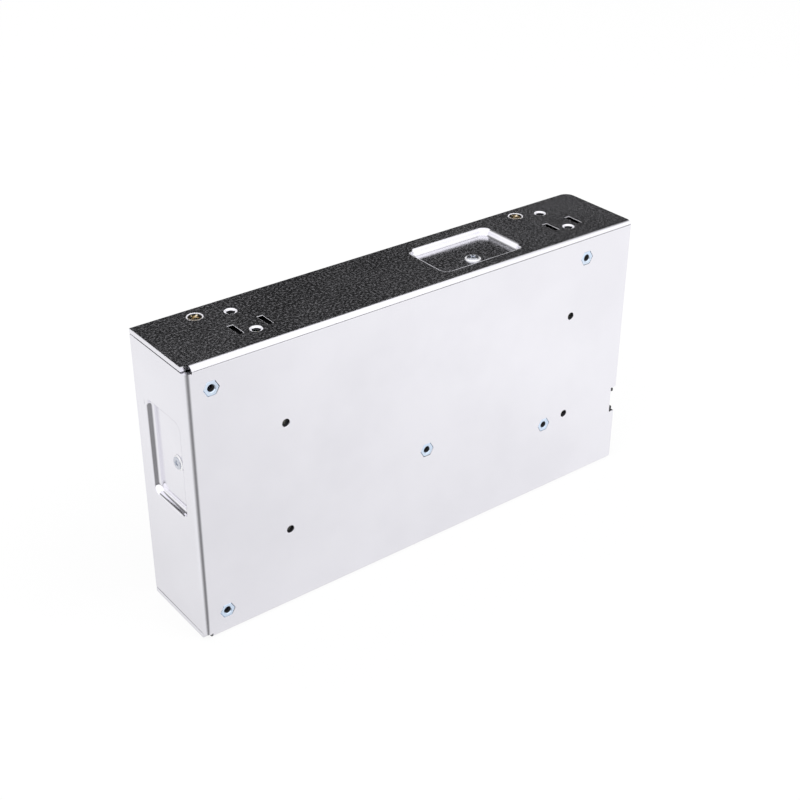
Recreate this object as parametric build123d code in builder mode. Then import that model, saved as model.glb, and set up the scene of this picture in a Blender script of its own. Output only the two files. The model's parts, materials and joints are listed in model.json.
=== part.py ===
# Mesh case switching power supply, standing on one of its long walls. All sizes are in millimetres.
# X runs along the case from the closed end to the terminal end, Y through its depth from the base plate
# to the perforated cover, and Z upwards. The origin is under the middle of the wall that it stands on.
import os
from math import cos, radians, sin

from build123d import *

os.makedirs("parts", exist_ok=True)

# Case, folded from one sheet: base plate, two long walls and the closed end
case_length = 225.0
case_height = 124.0
case_depth = 41.0
case_sheet = 2.0
inner_bend = 0.5
fold_relief = 3.0
end_gap = 0.4
free_corner = 4.5

# Clearances
slip_gap = 0.2
thread_gap = 0.02
bearing_gap = 0.05
moving_gap = 0.3
board_edge_gap = 1.2

# Tapped holes of the base plate and of the long walls, for M4 screws
tapped_radius = 1.65
base_hole_start = 41.75
base_hole_run = 150.0
base_hole_rise = 50.0
side_hole_near = 37.9
side_hole_run = 160.4
side_hole_low = 12.0
side_hole_rise = 18.3
lance_offset = 6.6
lance_width = 2.4
lance_length = 8.0
lance_start = 12.0

# Notch in the terminal edge of the base plate
notch_depth = 3.0
notch_width = 13.0
notch_height = 33.5

# Drawn recesses, one in the upper long wall and one in the closed end
recess_length = 42.5
recess_width = 25.5
recess_depth = 2.8
recess_corner = 3.6
recess_draw = 0.7
recess_start = 7.9
upper_recess_back = 77.8
end_recess_drop = 48.0

# Countersunk screws that hold the cover
cover_screw_inset = 24.5
cover_screw_back = 37.6
cover_screw_drop = 6.6
cover_screw_radius = 1.25
cover_screw_head = 2.9
cover_screw_taper = 35.0
cover_screw_flat = 0.4
cover_screw_reach = 4.4

# Perforated cover
cover_sheet = 1.0
cover_bend = 0.4
terminal_bay = 26.5
cover_lip = 4.0
cover_lug_width = 14.0
cover_lug_reach = 10.0
mesh_columns = 9
mesh_rows = 6
mesh_bar = 4.0
mesh_margin = 6.5
guard_start = 8.5
guard_step = 5.0
guard_slot = 3.4
guard_count = 3

# Circuit board on clinch standoffs, and the film under it
board_sheet = 1.6
board_lift = 4.0
standoff_bore = 1.25
hex_flats = 6.0
board_hole = 1.6
board_corner = 1.5
board_screw_head = 2.7
board_screw_height = 1.8
board_screw_reach = 5.0
film_sheet = 0.4
film_lift = 0.15
film_rise = 7.0
film_hole = 7.6

# Terminal block, its plates and screws, and the hinged guard over them
way_count = 9
way_pitch = 9.5
barrier_sheet = 1.6
block_depth = 19.0
block_back = 2.6
block_seat = 10.4
barrier_rise = 11.0
block_end_gap = 3.5
block_setback = 1.0
plate_sheet = 1.0
plate_length = 13.0
terminal_screw_radius = 1.65
terminal_screw_head = 3.3
terminal_screw_height = 2.2
terminal_washer = 3.7
terminal_washer_sheet = 0.8
foot_width = 1.6
foot_sheet = 1.4
ear_sheet = 2.4
hinge_lift = 26.4
hinge_barrel = 1.6
hinge_pin = 0.9
guard_sheet = 1.2
guard_lip = 3.0

# Voltage trimmer and status lamp beside the terminal block
trimmer_width = 7.0
trimmer_height = 12.0
trimmer_rotor_radius = 2.6
trimmer_rotor_height = 2.4
trimmer_shaft = 1.2
lamp_radius = 1.5
lamp_flange = 1.9
lamp_spacer_height = 12.0
lamp_body = 5.0
lamp_rim = 0.8

# Input voltage selector in the wall that the case stands on
selector_back = 63.0
selector_level = 17.0
selector_window = (14.0, 7.0)
selector_body = (20.0, 10.0, 9.0)
selector_flange = (24.0, 9.0, 1.0)
selector_pocket = (12.0, 5.0, 5.0)
selector_knob_length = 6.4
selector_groove = 1.0

# Cooling fan under the cover
fan_size = 50.0
fan_depth = 15.0
fan_corner = 4.0
fan_flange = 3.0
fan_wall = 1.3
fan_hole_inset = 5.0
fan_screw_radius = 1.5
fan_screw_head = 2.7
fan_hub_room = 12.2
fan_hub_wall = 1.5
fan_blades = 7
blade_tip_gap = 1.5
blade_chord = 13.5
blade_pitch = 52.0
blade_camber = 1.0
blade_sheet = 0.9
fan_base_sheet = 2.0
fan_strut = 3.2
fan_shaft = 1.0
fan_tube = 2.4
stator_width = 12.0

# Sides of the small round parts that are only seen through the mesh, such as screws and cans
few_sides = 6
more_sides = 12

# Clamped power devices behind each drawn recess
device_width = 15.9
device_height = 20.0
device_thick = 5.0
device_step = 23.0
device_lift = 3.0
lead_step = 5.45
lead_width = 1.2
lead_thick = 0.6
pad_sheet = 0.4
clamp_length = 34.0
clamp_width = 8.0
clamp_sheet = 2.0
clamp_level = 15.75
clamp_screw_radius = 1.25
clamp_screw_head = 2.75
clamp_screw_height = 1.7
clamp_washer = 3.4
clamp_washer_sheet = 0.6

# Parts on the board
core_length = 42.0
core_width = 40.0
core_thick = 16.0
core_leg = 6.0
core_middle = 12.0
bobbin_wall = 1.0
bobbin_flange = 1.5
winding_room = 0.4
choke_outer = 16.0
choke_inner = 9.0
choke_gap = 3.2
choke_wire = 1.6
choke_opening = 4.0
filter_outer = 10.0
filter_inner = 5.8
filter_thick = 9.0
filter_wire = 1.2
filter_opening = 5.0
filter_base_sheet = 2.0
bulk_radius = 13.0
bulk_top_gap = 3.0
bulk_step = 28.0
output_radius = 5.0
output_height = 20.0
output_step = 12.0
film_capacitor = (10.0, 26.0, 18.0)
disc_radius = 4.0
disc_thick = 3.4
bridge_size = (22.0, 3.5, 18.0)
heatsink_length = 28.0
heatsink_height = 24.0
heatsink_wall = 2.4
heatsink_fin = 1.4
heatsink_reach = 8.0
heatsink_fins = 5
thermistor_radius = 6.0
thermistor_thick = 4.5
fuse_radius = 2.6
fuse_length = 20.0
fuse_cap = 5.5
fuse_lift = 5.0
small_core = (16.0, 14.0, 15.0)
control_board_size = (36.0, 20.0)
control_board_sheet = 1.2
chip_size = (9.0, 6.0, 1.6)
small_can_radius = 3.15
small_can_height = 11.0
resistor_radius = 2.5
resistor_length = 14.0
busbar_sheet = 1.2
busbar_height = 8.0
header_size = (6.0, 7.0, 6.0)
plug_height = 6.0
lead_radius = 0.7
lead_bend = 4.0

# Levels above the outer face of the base plate, and faces along and across the case
bend_radius = inner_bend + case_sheet
closed_face = -case_length / 2
terminal_face = case_length / 2
half_height = case_height / 2
wall_face = half_height - case_sheet
board_under = case_sheet + board_lift
board_top = board_under + board_sheet
cover_under = case_depth - cover_sheet
headroom = cover_under - board_top
block_front = terminal_face - block_setback
block_rear = block_front - block_depth
board_left = closed_face + case_sheet + board_edge_gap
board_right = block_front - foot_sheet - 2 * slip_gap
cover_left = closed_face + case_sheet + slip_gap
cover_right = terminal_face - terminal_bay
fan_under = cover_under - fan_depth
fan_bore = fan_size / 2 - fan_wall
fan_hole_run = fan_size - 2 * fan_hole_inset
fan_hub = fan_bore - fan_hub_room
blade_tip = fan_bore - blade_tip_gap
blade_root = fan_hub - 2 * fan_hub_wall


def level(height):
    """Plane parallel to the base plate: local x along the case, local y down to the wall it stands on."""
    return Plane(origin=(0, height - case_depth / 2, half_height), x_dir=(1, 0, 0), z_dir=(0, 1, 0))


def side(height):
    """Plane parallel to the long walls: local x along the case, local y from base plate to cover."""
    return Plane(origin=(0, -case_depth / 2, height), x_dir=(1, 0, 0), z_dir=(0, 0, 1))


def end(position):
    """Plane parallel to the closed end, facing out of it: local x up from the base plate, local y down."""
    return Plane(origin=(position, -case_depth / 2, half_height), x_dir=(0, 1, 0), z_dir=(-1, 0, 0))


def spot(share, rise):
    """Place on the board: a share of the run up to the terminal block, and a share of the half height."""
    return board_left + share * (block_rear - board_left), rise * wall_face


def on(place, height):
    """Plane parallel to the base plate with its origin at a place on the board."""
    return Plane(origin=level(height).from_local_coords((*place, 0)), x_dir=(1, 0, 0), z_dir=(0, 1, 0))


def write(name, piece):
    piece.part.label = name
    export_step(piece.part, f"parts/{name}.step")


def folded(points, sheet, radius):
    """Section of a folded sheet whose outer face follows the points, with the sheet on their right."""
    with BuildSketch() as section:
        with BuildLine():
            FilletPolyline(*points, radius=radius)
            offset(amount=sheet, side=Side.RIGHT)
        make_face()
    return section.sketch


# Places of the board's supports, measured from the case's faces
support_places = (
    (closed_face + 10.6, 11.0 - half_height),
    (closed_face + 10.6, half_height - 10.8),
    (terminal_face - 25.9, 11.0 - half_height),
    spot(0.537, 14.0 / 60.0),
    spot(0.873, 26.5 / 60.0),
)
upper_recess = (terminal_face - upper_recess_back, recess_start + recess_width / 2)
end_recess = (recess_start + recess_width / 2, end_recess_drop - half_height)
side_hole_places = [
    (closed_face + side_hole_near + run, side_hole_low + rise)
    for run in (0, side_hole_run)
    for rise in (0, side_hole_rise)
]
lance_places = [
    (closed_face + side_hole_near + run + shift, lance_start + lance_length / 2)
    for run in (0, side_hole_run)
    for shift in (-lance_offset, lance_offset)
]
cover_screw_level = case_depth - cover_screw_drop
cover_screw_places = [
    (closed_face + cover_screw_inset, cover_screw_level),
    (terminal_face - cover_screw_back, cover_screw_level),
]
base_hole_middle = closed_face + base_hole_start + base_hole_run / 2
selector_middle = terminal_face - selector_back

# Case: base plate with both long walls
wall_section = folded(
    [(case_depth, -half_height), (0, -half_height), (0, half_height), (case_depth, half_height)],
    case_sheet,
    bend_radius,
)
end_section = folded(
    [(closed_face + 2 * fold_relief, 0), (closed_face, 0), (closed_face, case_depth)], case_sheet, bend_radius
)
with BuildPart() as chassis:
    with BuildSketch(end(terminal_face)):
        add(wall_section)
    extrude(amount=case_length - fold_relief)
    free_edges = chassis.edges().filter_by(Axis.Z).group_by(Axis.X)[-1].group_by(Axis.Y)[-1]
    fillet(free_edges, free_corner)
    # flat ends of the long walls, which run past the closed end's sheet
    for height in (0, case_height - case_sheet):
        with BuildSketch(side(height)):
            with Locations((closed_face, fold_relief)):
                Rectangle(fold_relief, case_depth - fold_relief, align=(Align.MIN, Align.MIN))
        extrude(amount=case_sheet)
    # closed end, folded up between the long walls
    with BuildSketch(side(case_sheet + end_gap)):
        add(end_section)
    extrude(amount=case_height - 2 * (case_sheet + end_gap))
    # notch in the terminal edge
    with BuildSketch(level(0)):
        with Locations((terminal_face, half_height - notch_height)):
            Rectangle(2 * notch_depth, notch_width)
    extrude(amount=case_sheet, mode=Mode.SUBTRACT)
    # tapped holes of the base plate
    with BuildSketch(level(0)):
        with Locations((base_hole_middle, 0)):
            with GridLocations(base_hole_run, base_hole_rise, 2, 2):
                Circle(tapped_radius)
    extrude(amount=case_sheet, mode=Mode.SUBTRACT)
    # tapped holes and lanced slots, the same in both long walls
    for height in (0, case_height - case_sheet):
        with BuildSketch(side(height)):
            with Locations(*side_hole_places):
                Circle(tapped_radius)
            with Locations(*lance_places):
                Rectangle(lance_width, lance_length)
        extrude(amount=case_sheet, mode=Mode.SUBTRACT)
    # countersunk holes for the cover's screws
    for height, inward in ((0, 1), (case_height, -1)):
        with BuildSketch(side(height)):
            with Locations(*cover_screw_places):
                RegularPolygon(cover_screw_head, more_sides)
        extrude(amount=inward * case_sheet, taper=cover_screw_taper, mode=Mode.SUBTRACT)
    # hexagonal seats of the clinch standoffs
    with BuildSketch(level(0)):
        with Locations(*support_places):
            RegularPolygon(hex_flats / 2, 6, major_radius=False)
    extrude(amount=case_sheet, mode=Mode.SUBTRACT)
    # window of the voltage selector
    with BuildSketch(side(0)):
        with Locations((selector_middle, selector_level)):
            Rectangle(*selector_window)
    extrude(amount=case_sheet, mode=Mode.SUBTRACT)
    # drawn recesses: the back of each one stands into the case, then its pocket is cut from outside
    for face, place, size in (
        (side(case_height), upper_recess, (recess_length, recess_width)),
        (end(closed_face), end_recess, (recess_width, recess_length)),
    ):
        grown = [side_length + 2 * case_sheet - recess_draw for side_length in size]
        drawn = [side_length - 2 * recess_draw for side_length in size]
        with BuildSketch(face.offset(-case_sheet)) as back_rim:
            with Locations(place):
                Rectangle(*grown)
            chamfer(back_rim.vertices(), recess_corner)
        with BuildSketch(face.offset(-case_sheet - recess_depth)) as back_floor:
            with Locations(place):
                Rectangle(*[length - 2 * recess_draw for length in grown])
            chamfer(back_floor.vertices(), recess_corner)
        loft()
        with BuildSketch(face):
            with Locations(place):
                RectangleRounded(*size, recess_corner)
        with BuildSketch(face.offset(-recess_depth)):
            with Locations(place):
                RectangleRounded(*drawn, recess_corner - recess_draw)
        loft(mode=Mode.SUBTRACT)
        # hole for the clamp screw in the recess floor
        with BuildSketch(face.offset(-recess_depth)):
            with Locations((place[0], clamp_level) if size[0] > size[1] else (clamp_level, place[1])):
                RegularPolygon(clamp_screw_radius + slip_gap, few_sides)
        extrude(amount=-case_sheet, mode=Mode.SUBTRACT)
write("chassis", chassis)

# Clinch standoffs: hexagonal tapped pillars pressed into the base plate, flush with its face
with BuildPart() as clinch_standoffs:
    with BuildSketch(level(0)):
        with Locations(*support_places):
            RegularPolygon(hex_flats / 2, 6, major_radius=False)
            RegularPolygon(standoff_bore, few_sides, mode=Mode.SUBTRACT)
    extrude(amount=board_under)
write("clinch_standoffs", clinch_standoffs)

# Perforated cover: plate with lips folded down inside the walls, and lugs for its screws
cover_width = 2 * (wall_face - slip_gap)
cover_outer_bend = cover_bend + cover_sheet
lug_height = cover_lug_reach - cover_outer_bend
cover_section = folded(
    [
        (case_depth - cover_lip, cover_width / 2),
        (case_depth, cover_width / 2),
        (case_depth, -cover_width / 2),
        (case_depth - cover_lip, -cover_width / 2),
    ],
    cover_sheet,
    cover_outer_bend,
)
fan_place = spot(0.262, 26.0 / 60.0)
fan_screw_shifts = [
    (fan_place[0] + x * fan_hole_run / 2, fan_place[1] + y * fan_hole_run / 2)
    for x in (-1, 1)
    for y in (-1, 1)
]
mesh_pitch = (cover_right - cover_left - 2 * mesh_margin + mesh_bar) / mesh_columns
mesh_rise = (cover_width - 2 * mesh_margin + mesh_bar) / mesh_rows
mesh_opening = (mesh_pitch - mesh_bar, mesh_rise - mesh_bar)
mesh_places = []
for column in range(mesh_columns):
    u = (cover_left + cover_right) / 2 + (column - (mesh_columns - 1) / 2) * mesh_pitch
    for row in range(mesh_rows):
        v = (row - (mesh_rows - 1) / 2) * mesh_rise
        beside_fan = abs(u - fan_place[0]) - mesh_opening[0] / 2
        below_fan = abs(v - fan_place[1]) - mesh_opening[1] / 2
        if max(beside_fan, below_fan) > (fan_size + mesh_bar) / 2:
            mesh_places.append((u, v))
guard_rings = [guard_start + ring * guard_step for ring in range(guard_count)]
with BuildPart() as mesh_cover:
    with BuildSketch(end(cover_right)):
        add(cover_section)
    extrude(amount=cover_right - cover_left)
    # lugs that reach down to the countersunk screws
    for height in (case_sheet + slip_gap, case_height - case_sheet - slip_gap - cover_sheet):
        with BuildSketch(side(height)):
            with Locations(*[(u, case_depth - cover_lug_reach) for u, w in cover_screw_places]):
                Rectangle(cover_lug_width, lug_height, align=(Align.CENTER, Align.MIN))
            with Locations(*cover_screw_places):
                RegularPolygon(cover_screw_radius + thread_gap, few_sides, mode=Mode.SUBTRACT)
        extrude(amount=cover_sheet)
    # plain grid of openings for the fine mesh, and the ring slots over the fan
    with BuildSketch(level(cover_under)):
        with Locations(*mesh_places):
            Rectangle(*mesh_opening)
    extrude(amount=cover_sheet, mode=Mode.SUBTRACT)
    for inner in guard_rings:
        with BuildSketch(on(fan_place, cover_under)):
            RegularPolygon(inner + guard_slot, more_sides)
            RegularPolygon(inner, more_sides, mode=Mode.SUBTRACT)
            Rectangle(fan_size, fan_strut, mode=Mode.SUBTRACT)
            Rectangle(fan_strut, fan_size, mode=Mode.SUBTRACT)
        extrude(amount=cover_sheet, mode=Mode.SUBTRACT)
    with BuildSketch(level(cover_under)):
        with Locations(*fan_screw_shifts):
            RegularPolygon(fan_screw_head + thread_gap, few_sides)
    extrude(amount=cover_sheet, mode=Mode.SUBTRACT)
write("mesh_cover", mesh_cover)

# Countersunk cover screws through both long walls
with BuildPart() as cover_screws:
    for height, inward in ((0, 1), (case_height, -1)):
        with BuildSketch(side(height)):
            with Locations(*cover_screw_places):
                RegularPolygon(cover_screw_head, few_sides)
        extrude(amount=inward * cover_screw_flat, taper=cover_screw_taper)
        with BuildSketch(side(height)):
            with Locations(*cover_screw_places):
                RegularPolygon(cover_screw_radius, few_sides)
        extrude(amount=inward * cover_screw_reach)
write("cover_screws", cover_screws)

# Insulating film under the board, folded up along the wall that the case stands on
film_under = case_sheet + film_lift
film_edge = wall_face - slip_gap
with BuildPart() as insulating_film:
    with BuildSketch(level(film_under)):
        with Locations(((board_left + block_rear) / 2, 0)):
            Rectangle(block_rear - board_left, 2 * film_edge)
        with Locations(*support_places):
            Rectangle(film_hole, film_hole, mode=Mode.SUBTRACT)
    extrude(amount=film_sheet)
    with BuildSketch(level(film_under)):
        with Locations(((board_left + block_rear) / 2, film_edge)):
            Rectangle(block_rear - board_left, film_sheet, align=(Align.CENTER, Align.MAX))
    extrude(amount=film_rise)
write("insulating_film", insulating_film)

# Circuit board, notched beside the drawn recesses
recess_inner = case_sheet + recess_depth + slip_gap
with BuildPart() as circuit_board:
    with BuildSketch(level(board_under)) as board_outline:
        with Locations(((board_left + board_right) / 2, 0)):
            Rectangle(board_right - board_left, 2 * (wall_face - board_edge_gap))
        chamfer(board_outline.vertices(), board_corner)
        with Locations((upper_recess[0], -half_height)):
            Rectangle(recess_length + 3 * case_sheet, 2 * recess_inner, mode=Mode.SUBTRACT)
        with Locations((closed_face, end_recess[1])):
            Rectangle(2 * recess_inner, recess_length + 3 * case_sheet, mode=Mode.SUBTRACT)
        with Locations(*support_places):
            RegularPolygon(board_hole, few_sides, mode=Mode.SUBTRACT)
    extrude(amount=board_sheet)
write("circuit_board", circuit_board)

# Board screws into the standoffs
with BuildPart() as board_screws:
    with BuildSketch(level(board_top)):
        with Locations(*support_places):
            RegularPolygon(board_screw_head, few_sides)
    extrude(amount=board_screw_height)
    with BuildSketch(level(board_top)):
        with Locations(*support_places):
            RegularPolygon(standoff_bore - thread_gap, few_sides)
    extrude(amount=-board_screw_reach)
write("board_screws", board_screws)

# Terminal block
block_length = way_count * way_pitch + barrier_sheet
block_low = wall_face - block_end_gap
block_middle = block_low - block_length / 2
seat_level = board_top + block_seat
screw_line = block_rear + block_back + terminal_washer + 2 * slip_gap
way_shifts = [(way - (way_count - 1) / 2) * way_pitch for way in range(way_count)]
way_places = [(screw_line, block_middle + shift) for shift in way_shifts]
hinge_line = block_rear + hinge_barrel
hinge_level = board_top + hinge_lift
foot_middles = [half_height - notch_height + turn * (notch_width / 2 - foot_width) for turn in (-1, 1)]
with BuildPart() as terminal_block:
    # body, with the barriers between the ways and a wall behind them
    with BuildSketch(level(board_top)):
        with Locations(((block_rear + block_front) / 2, block_middle)):
            Rectangle(block_depth, block_length)
    extrude(amount=block_seat)
    with BuildSketch(level(seat_level)):
        with Locations((block_rear + block_back / 2, block_middle)):
            Rectangle(block_back, block_length)
        with Locations(((block_rear + block_front) / 2, block_middle)):
            with GridLocations(0, way_pitch, 1, way_count + 1):
                Rectangle(block_depth, barrier_sheet)
    extrude(amount=barrier_rise)
    barrier_corners = (
        terminal_block.edges().filter_by(Axis.Z).group_by(Axis.X)[-1].group_by(Axis.Y)[-1]
    )
    chamfer(barrier_corners, 2.5)
    # ears that hold the guard's hinge pins
    for turn in (-1, 1):
        with BuildSketch(side(half_height - block_middle - turn * (block_length / 2))):
            with BuildLine():
                Polyline(
                    (block_rear, board_top),
                    (hinge_line + 2 * hinge_barrel, board_top),
                    (hinge_line + 2 * hinge_barrel, seat_level),
                    (hinge_line + hinge_barrel, hinge_level),
                    (hinge_line + hinge_barrel / 2, hinge_level + hinge_barrel),
                    (hinge_line - hinge_barrel / 2, hinge_level + hinge_barrel),
                    (hinge_line - hinge_barrel, hinge_level),
                    close=True,
                )
            make_face()
            with Locations((hinge_line, hinge_level)):
                RegularPolygon(hinge_pin + bearing_gap, more_sides, major_radius=False, mode=Mode.SUBTRACT)
        extrude(amount=-turn * ear_sheet)
    # snap feet in front of the board's edge, in the notch of the base plate
    with BuildSketch(level(case_sheet / 4)):
        with Locations(*[(block_front - foot_sheet / 2, middle) for middle in foot_middles]):
            Rectangle(foot_sheet, foot_width)
    extrude(amount=board_top + 1 - case_sheet / 4)
write("terminal_block", terminal_block)

# Terminal plates on the seats, tapped for their screws
plate_width = way_pitch - barrier_sheet - 2 * slip_gap
with BuildPart() as terminal_plates:
    with BuildSketch(level(seat_level)):
        with Locations(*[(block_rear + block_back + slip_gap, v) for u, v in way_places]):
            Rectangle(plate_length, plate_width, align=(Align.MIN, Align.CENTER))
        with Locations(*way_places):
            RegularPolygon(terminal_screw_radius + thread_gap, few_sides, mode=Mode.SUBTRACT)
    extrude(amount=plate_sheet)
write("terminal_plates", terminal_plates)

# Terminal screws, each with its captive square washer
with BuildPart() as terminal_screws:
    with BuildSketch(level(seat_level + plate_sheet)):
        with Locations(*way_places):
            RegularPolygon(terminal_screw_radius, few_sides)
    extrude(amount=-plate_sheet)
    with BuildSketch(level(seat_level + plate_sheet)):
        with Locations(*way_places):
            Rectangle(2 * terminal_washer, 2 * terminal_washer)
    extrude(amount=terminal_washer_sheet)
    with BuildSketch(level(seat_level + plate_sheet + terminal_washer_sheet)):
        with Locations(*way_places):
            RegularPolygon(terminal_screw_head, few_sides)
    extrude(amount=terminal_screw_height)
write("terminal_screws", terminal_screws)

# Clear guard over the terminals, hinged between the block's ears
guard_half = block_length / 2 - moving_gap
guard_front = terminal_face - slip_gap
with BuildPart() as terminal_guard:
    with BuildSketch(side(half_height - block_middle - guard_half)):
        with Locations((hinge_line, hinge_level)):
            RegularPolygon(hinge_barrel, few_sides)
        with Locations((hinge_line, hinge_level + hinge_barrel)):
            Rectangle(guard_front - hinge_line, guard_sheet, align=(Align.MIN, Align.MAX))
        with Locations((guard_front, hinge_level + hinge_barrel)):
            Rectangle(guard_sheet, guard_lip, align=(Align.MAX, Align.MAX))
    extrude(amount=2 * guard_half)
    with BuildSketch(side(half_height - block_middle - block_length / 2 - ear_sheet)):
        with Locations((hinge_line, hinge_level)):
            RegularPolygon(hinge_pin, more_sides)
    extrude(amount=block_length + 2 * ear_sheet)
write("terminal_guard", terminal_guard)

# Voltage trimmer and status lamp, in the room between the terminal block and the upper wall
free_room = block_low - block_length - ear_sheet + wall_face
trimmer_place = (block_front - trimmer_width, -wall_face + free_room * 0.62)
lamp_place = (block_front - trimmer_width, -wall_face + free_room * 0.22)
trimmer_top = board_top + trimmer_height
with BuildPart() as voltage_trimmer:
    with BuildSketch(on(trimmer_place, board_top)):
        Rectangle(trimmer_width, trimmer_width)
    extrude(amount=trimmer_height)
    with BuildSketch(on(trimmer_place, trimmer_top)):
        RegularPolygon(trimmer_shaft + bearing_gap, more_sides, major_radius=False)
    extrude(amount=-trimmer_height / 3, mode=Mode.SUBTRACT)
write("voltage_trimmer", voltage_trimmer)

with BuildPart() as trimmer_rotor:
    with BuildSketch(on(trimmer_place, trimmer_top + moving_gap)):
        RegularPolygon(trimmer_rotor_radius, more_sides)
    extrude(amount=trimmer_rotor_height)
    with BuildSketch(on(trimmer_place, trimmer_top + moving_gap + trimmer_rotor_height)):
        Rectangle(2 * trimmer_rotor_radius - 1.4, 0.9)
        Rectangle(0.9, 2 * trimmer_rotor_radius - 1.4)
    extrude(amount=-trimmer_rotor_height / 2, mode=Mode.SUBTRACT)
    with BuildSketch(on(trimmer_place, trimmer_top + moving_gap)):
        RegularPolygon(trimmer_shaft, more_sides)
    extrude(amount=moving_gap - trimmer_height / 3)
write("trimmer_rotor", trimmer_rotor)

with BuildPart() as lamp_spacer:
    with BuildSketch(on(lamp_place, board_top)):
        RegularPolygon(lamp_flange, few_sides)
    extrude(amount=lamp_spacer_height)
write("lamp_spacer", lamp_spacer)

with BuildPart() as status_lamp:
    with BuildSketch(on(lamp_place, board_top + lamp_spacer_height)):
        RegularPolygon(lamp_flange, few_sides)
    extrude(amount=lamp_rim)
    with BuildSketch(on(lamp_place, board_top + lamp_spacer_height)):
        RegularPolygon(lamp_radius, few_sides)
    extrude(amount=lamp_body)
    chamfer(status_lamp.faces().sort_by(Axis.Y)[-1].edges(), lamp_radius / 2)
write("status_lamp", status_lamp)

# Input voltage selector behind its window
pocket_length, pocket_width, pocket_depth = selector_pocket
knob_start = selector_middle - pocket_length / 2 + moving_gap
with BuildPart() as selector_switch:
    with BuildSketch(side(case_sheet)):
        with Locations((selector_middle, selector_level)):
            Rectangle(selector_flange[0], selector_flange[1])
    extrude(amount=selector_flange[2])
    with BuildSketch(side(case_sheet)):
        with Locations((selector_middle, selector_level)):
            Rectangle(selector_body[0], selector_body[1])
    extrude(amount=selector_body[2])
    with BuildSketch(side(case_sheet)):
        with Locations((selector_middle, selector_level)):
            Rectangle(pocket_length, pocket_width)
    extrude(amount=pocket_depth, mode=Mode.SUBTRACT)
write("selector_switch", selector_switch)

with BuildPart() as selector_slider:
    with BuildSketch(side(case_sheet / 2)):
        with Locations((knob_start, selector_level)):
            Rectangle(selector_knob_length, pocket_width - 2 * moving_gap, align=(Align.MIN, Align.CENTER))
    extrude(amount=case_sheet / 2 + pocket_depth - moving_gap)
    with BuildSketch(side(case_sheet / 2)):
        with Locations((knob_start + selector_knob_length / 2, selector_level)):
            Rectangle(selector_groove, pocket_width)
    extrude(amount=case_sheet / 2, mode=Mode.SUBTRACT)
write("selector_slider", selector_slider)

# Fan housing: square frame with a round bore, three struts and the tube that carries the shaft
with BuildPart() as fan_housing:
    with BuildSketch(on(fan_place, fan_under)) as fan_outline:
        Rectangle(fan_size, fan_size)
        chamfer(fan_outline.vertices(), fan_corner)
        with GridLocations(fan_hole_run, fan_hole_run, 2, 2):
            RegularPolygon(fan_screw_radius + thread_gap, few_sides, mode=Mode.SUBTRACT)
        RegularPolygon(fan_bore, 2 * more_sides, major_radius=False, mode=Mode.SUBTRACT)
    extrude(amount=fan_depth)
    with BuildSketch(on(fan_place, fan_under)):
        with PolarLocations(0, 3, start_angle=30):
            Rectangle(fan_bore + 0.5, fan_strut, align=(Align.MIN, Align.CENTER))
        RegularPolygon(fan_hub - slip_gap, more_sides)
    extrude(amount=fan_base_sheet)
    with BuildSketch(on(fan_place, fan_under)):
        RegularPolygon(fan_tube, few_sides)
    extrude(amount=fan_depth - fan_flange - 1)
    with BuildSketch(on(fan_place, fan_under + 1)):
        RegularPolygon(fan_shaft + bearing_gap, more_sides, major_radius=False)
    extrude(amount=fan_depth, mode=Mode.SUBTRACT)
write("fan_housing", fan_housing)

# Stator on the fan's tube, four poles
with BuildPart() as fan_stator:
    with BuildSketch(on(fan_place, fan_under + fan_base_sheet)):
        Rectangle(stator_width, stator_width)
        with GridLocations(stator_width, stator_width, 2, 2):
            Rectangle(stator_width / 2, stator_width / 2, mode=Mode.SUBTRACT)
        RegularPolygon(fan_tube, few_sides, mode=Mode.SUBTRACT)
    extrude(amount=6.0)
write("fan_stator", fan_stator)

# Fan rotor: cambered blades on a cup that covers the stator
rotor_low = fan_under + fan_base_sheet + 0.8
rotor_high = cover_under - 1.5
tube_top = fan_under + fan_depth - fan_flange - 1
hub_height = rotor_high - rotor_low
blade_level = (rotor_low + rotor_high) / 2
fan_middle = on(fan_place, blade_level)
blade_line = [
    (share * blade_chord / 2, blade_camber * (1 - share**2)) for share in (-1.0, -0.35, 0.35, 1.0)
]
lean_cos, lean_sin = cos(radians(blade_pitch)), sin(radians(blade_pitch))
blade_front = [
    (along * lean_cos - out * lean_sin, along * lean_sin + out * lean_cos) for along, out in blade_line
]
blade_back = [
    (along - blade_sheet * lean_sin, out + blade_sheet * lean_cos) for along, out in blade_front
]
with BuildPart() as fan_rotor:
    for turn in range(fan_blades):
        heading = radians(360 * turn / fan_blades)
        outward = Plane(origin=fan_middle.origin, x_dir=(0, 1, 0), z_dir=(cos(heading), 0, sin(heading)))
        with BuildSketch(outward.offset(blade_root)):
            with BuildLine():
                Polyline(*blade_front, *reversed(blade_back), close=True)
            make_face()
        extrude(amount=blade_tip - blade_root)
    with BuildSketch(on(fan_place, rotor_low)):
        RegularPolygon(fan_hub, 2 * more_sides)
    extrude(amount=hub_height)
    with BuildSketch(on(fan_place, rotor_low)):
        RegularPolygon(fan_hub - fan_hub_wall, more_sides)
    extrude(amount=hub_height - fan_hub_wall, mode=Mode.SUBTRACT)
    # boss that holds the shaft
    with BuildSketch(on(fan_place, tube_top + moving_gap)):
        RegularPolygon(2 * fan_shaft, few_sides)
    extrude(amount=rotor_high - 0.5 - tube_top - moving_gap)
    with BuildSketch(on(fan_place, rotor_low)):
        RegularPolygon(fan_shaft, more_sides)
    extrude(amount=rotor_high - 1 - rotor_low, mode=Mode.SUBTRACT)
write("fan_rotor", fan_rotor)

with BuildPart() as fan_spindle:
    with BuildSketch(on(fan_place, fan_under + 1 + moving_gap)):
        RegularPolygon(fan_shaft, more_sides)
    extrude(amount=rotor_high - 1 - fan_under - 1 - moving_gap)
write("fan_spindle", fan_spindle)

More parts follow.
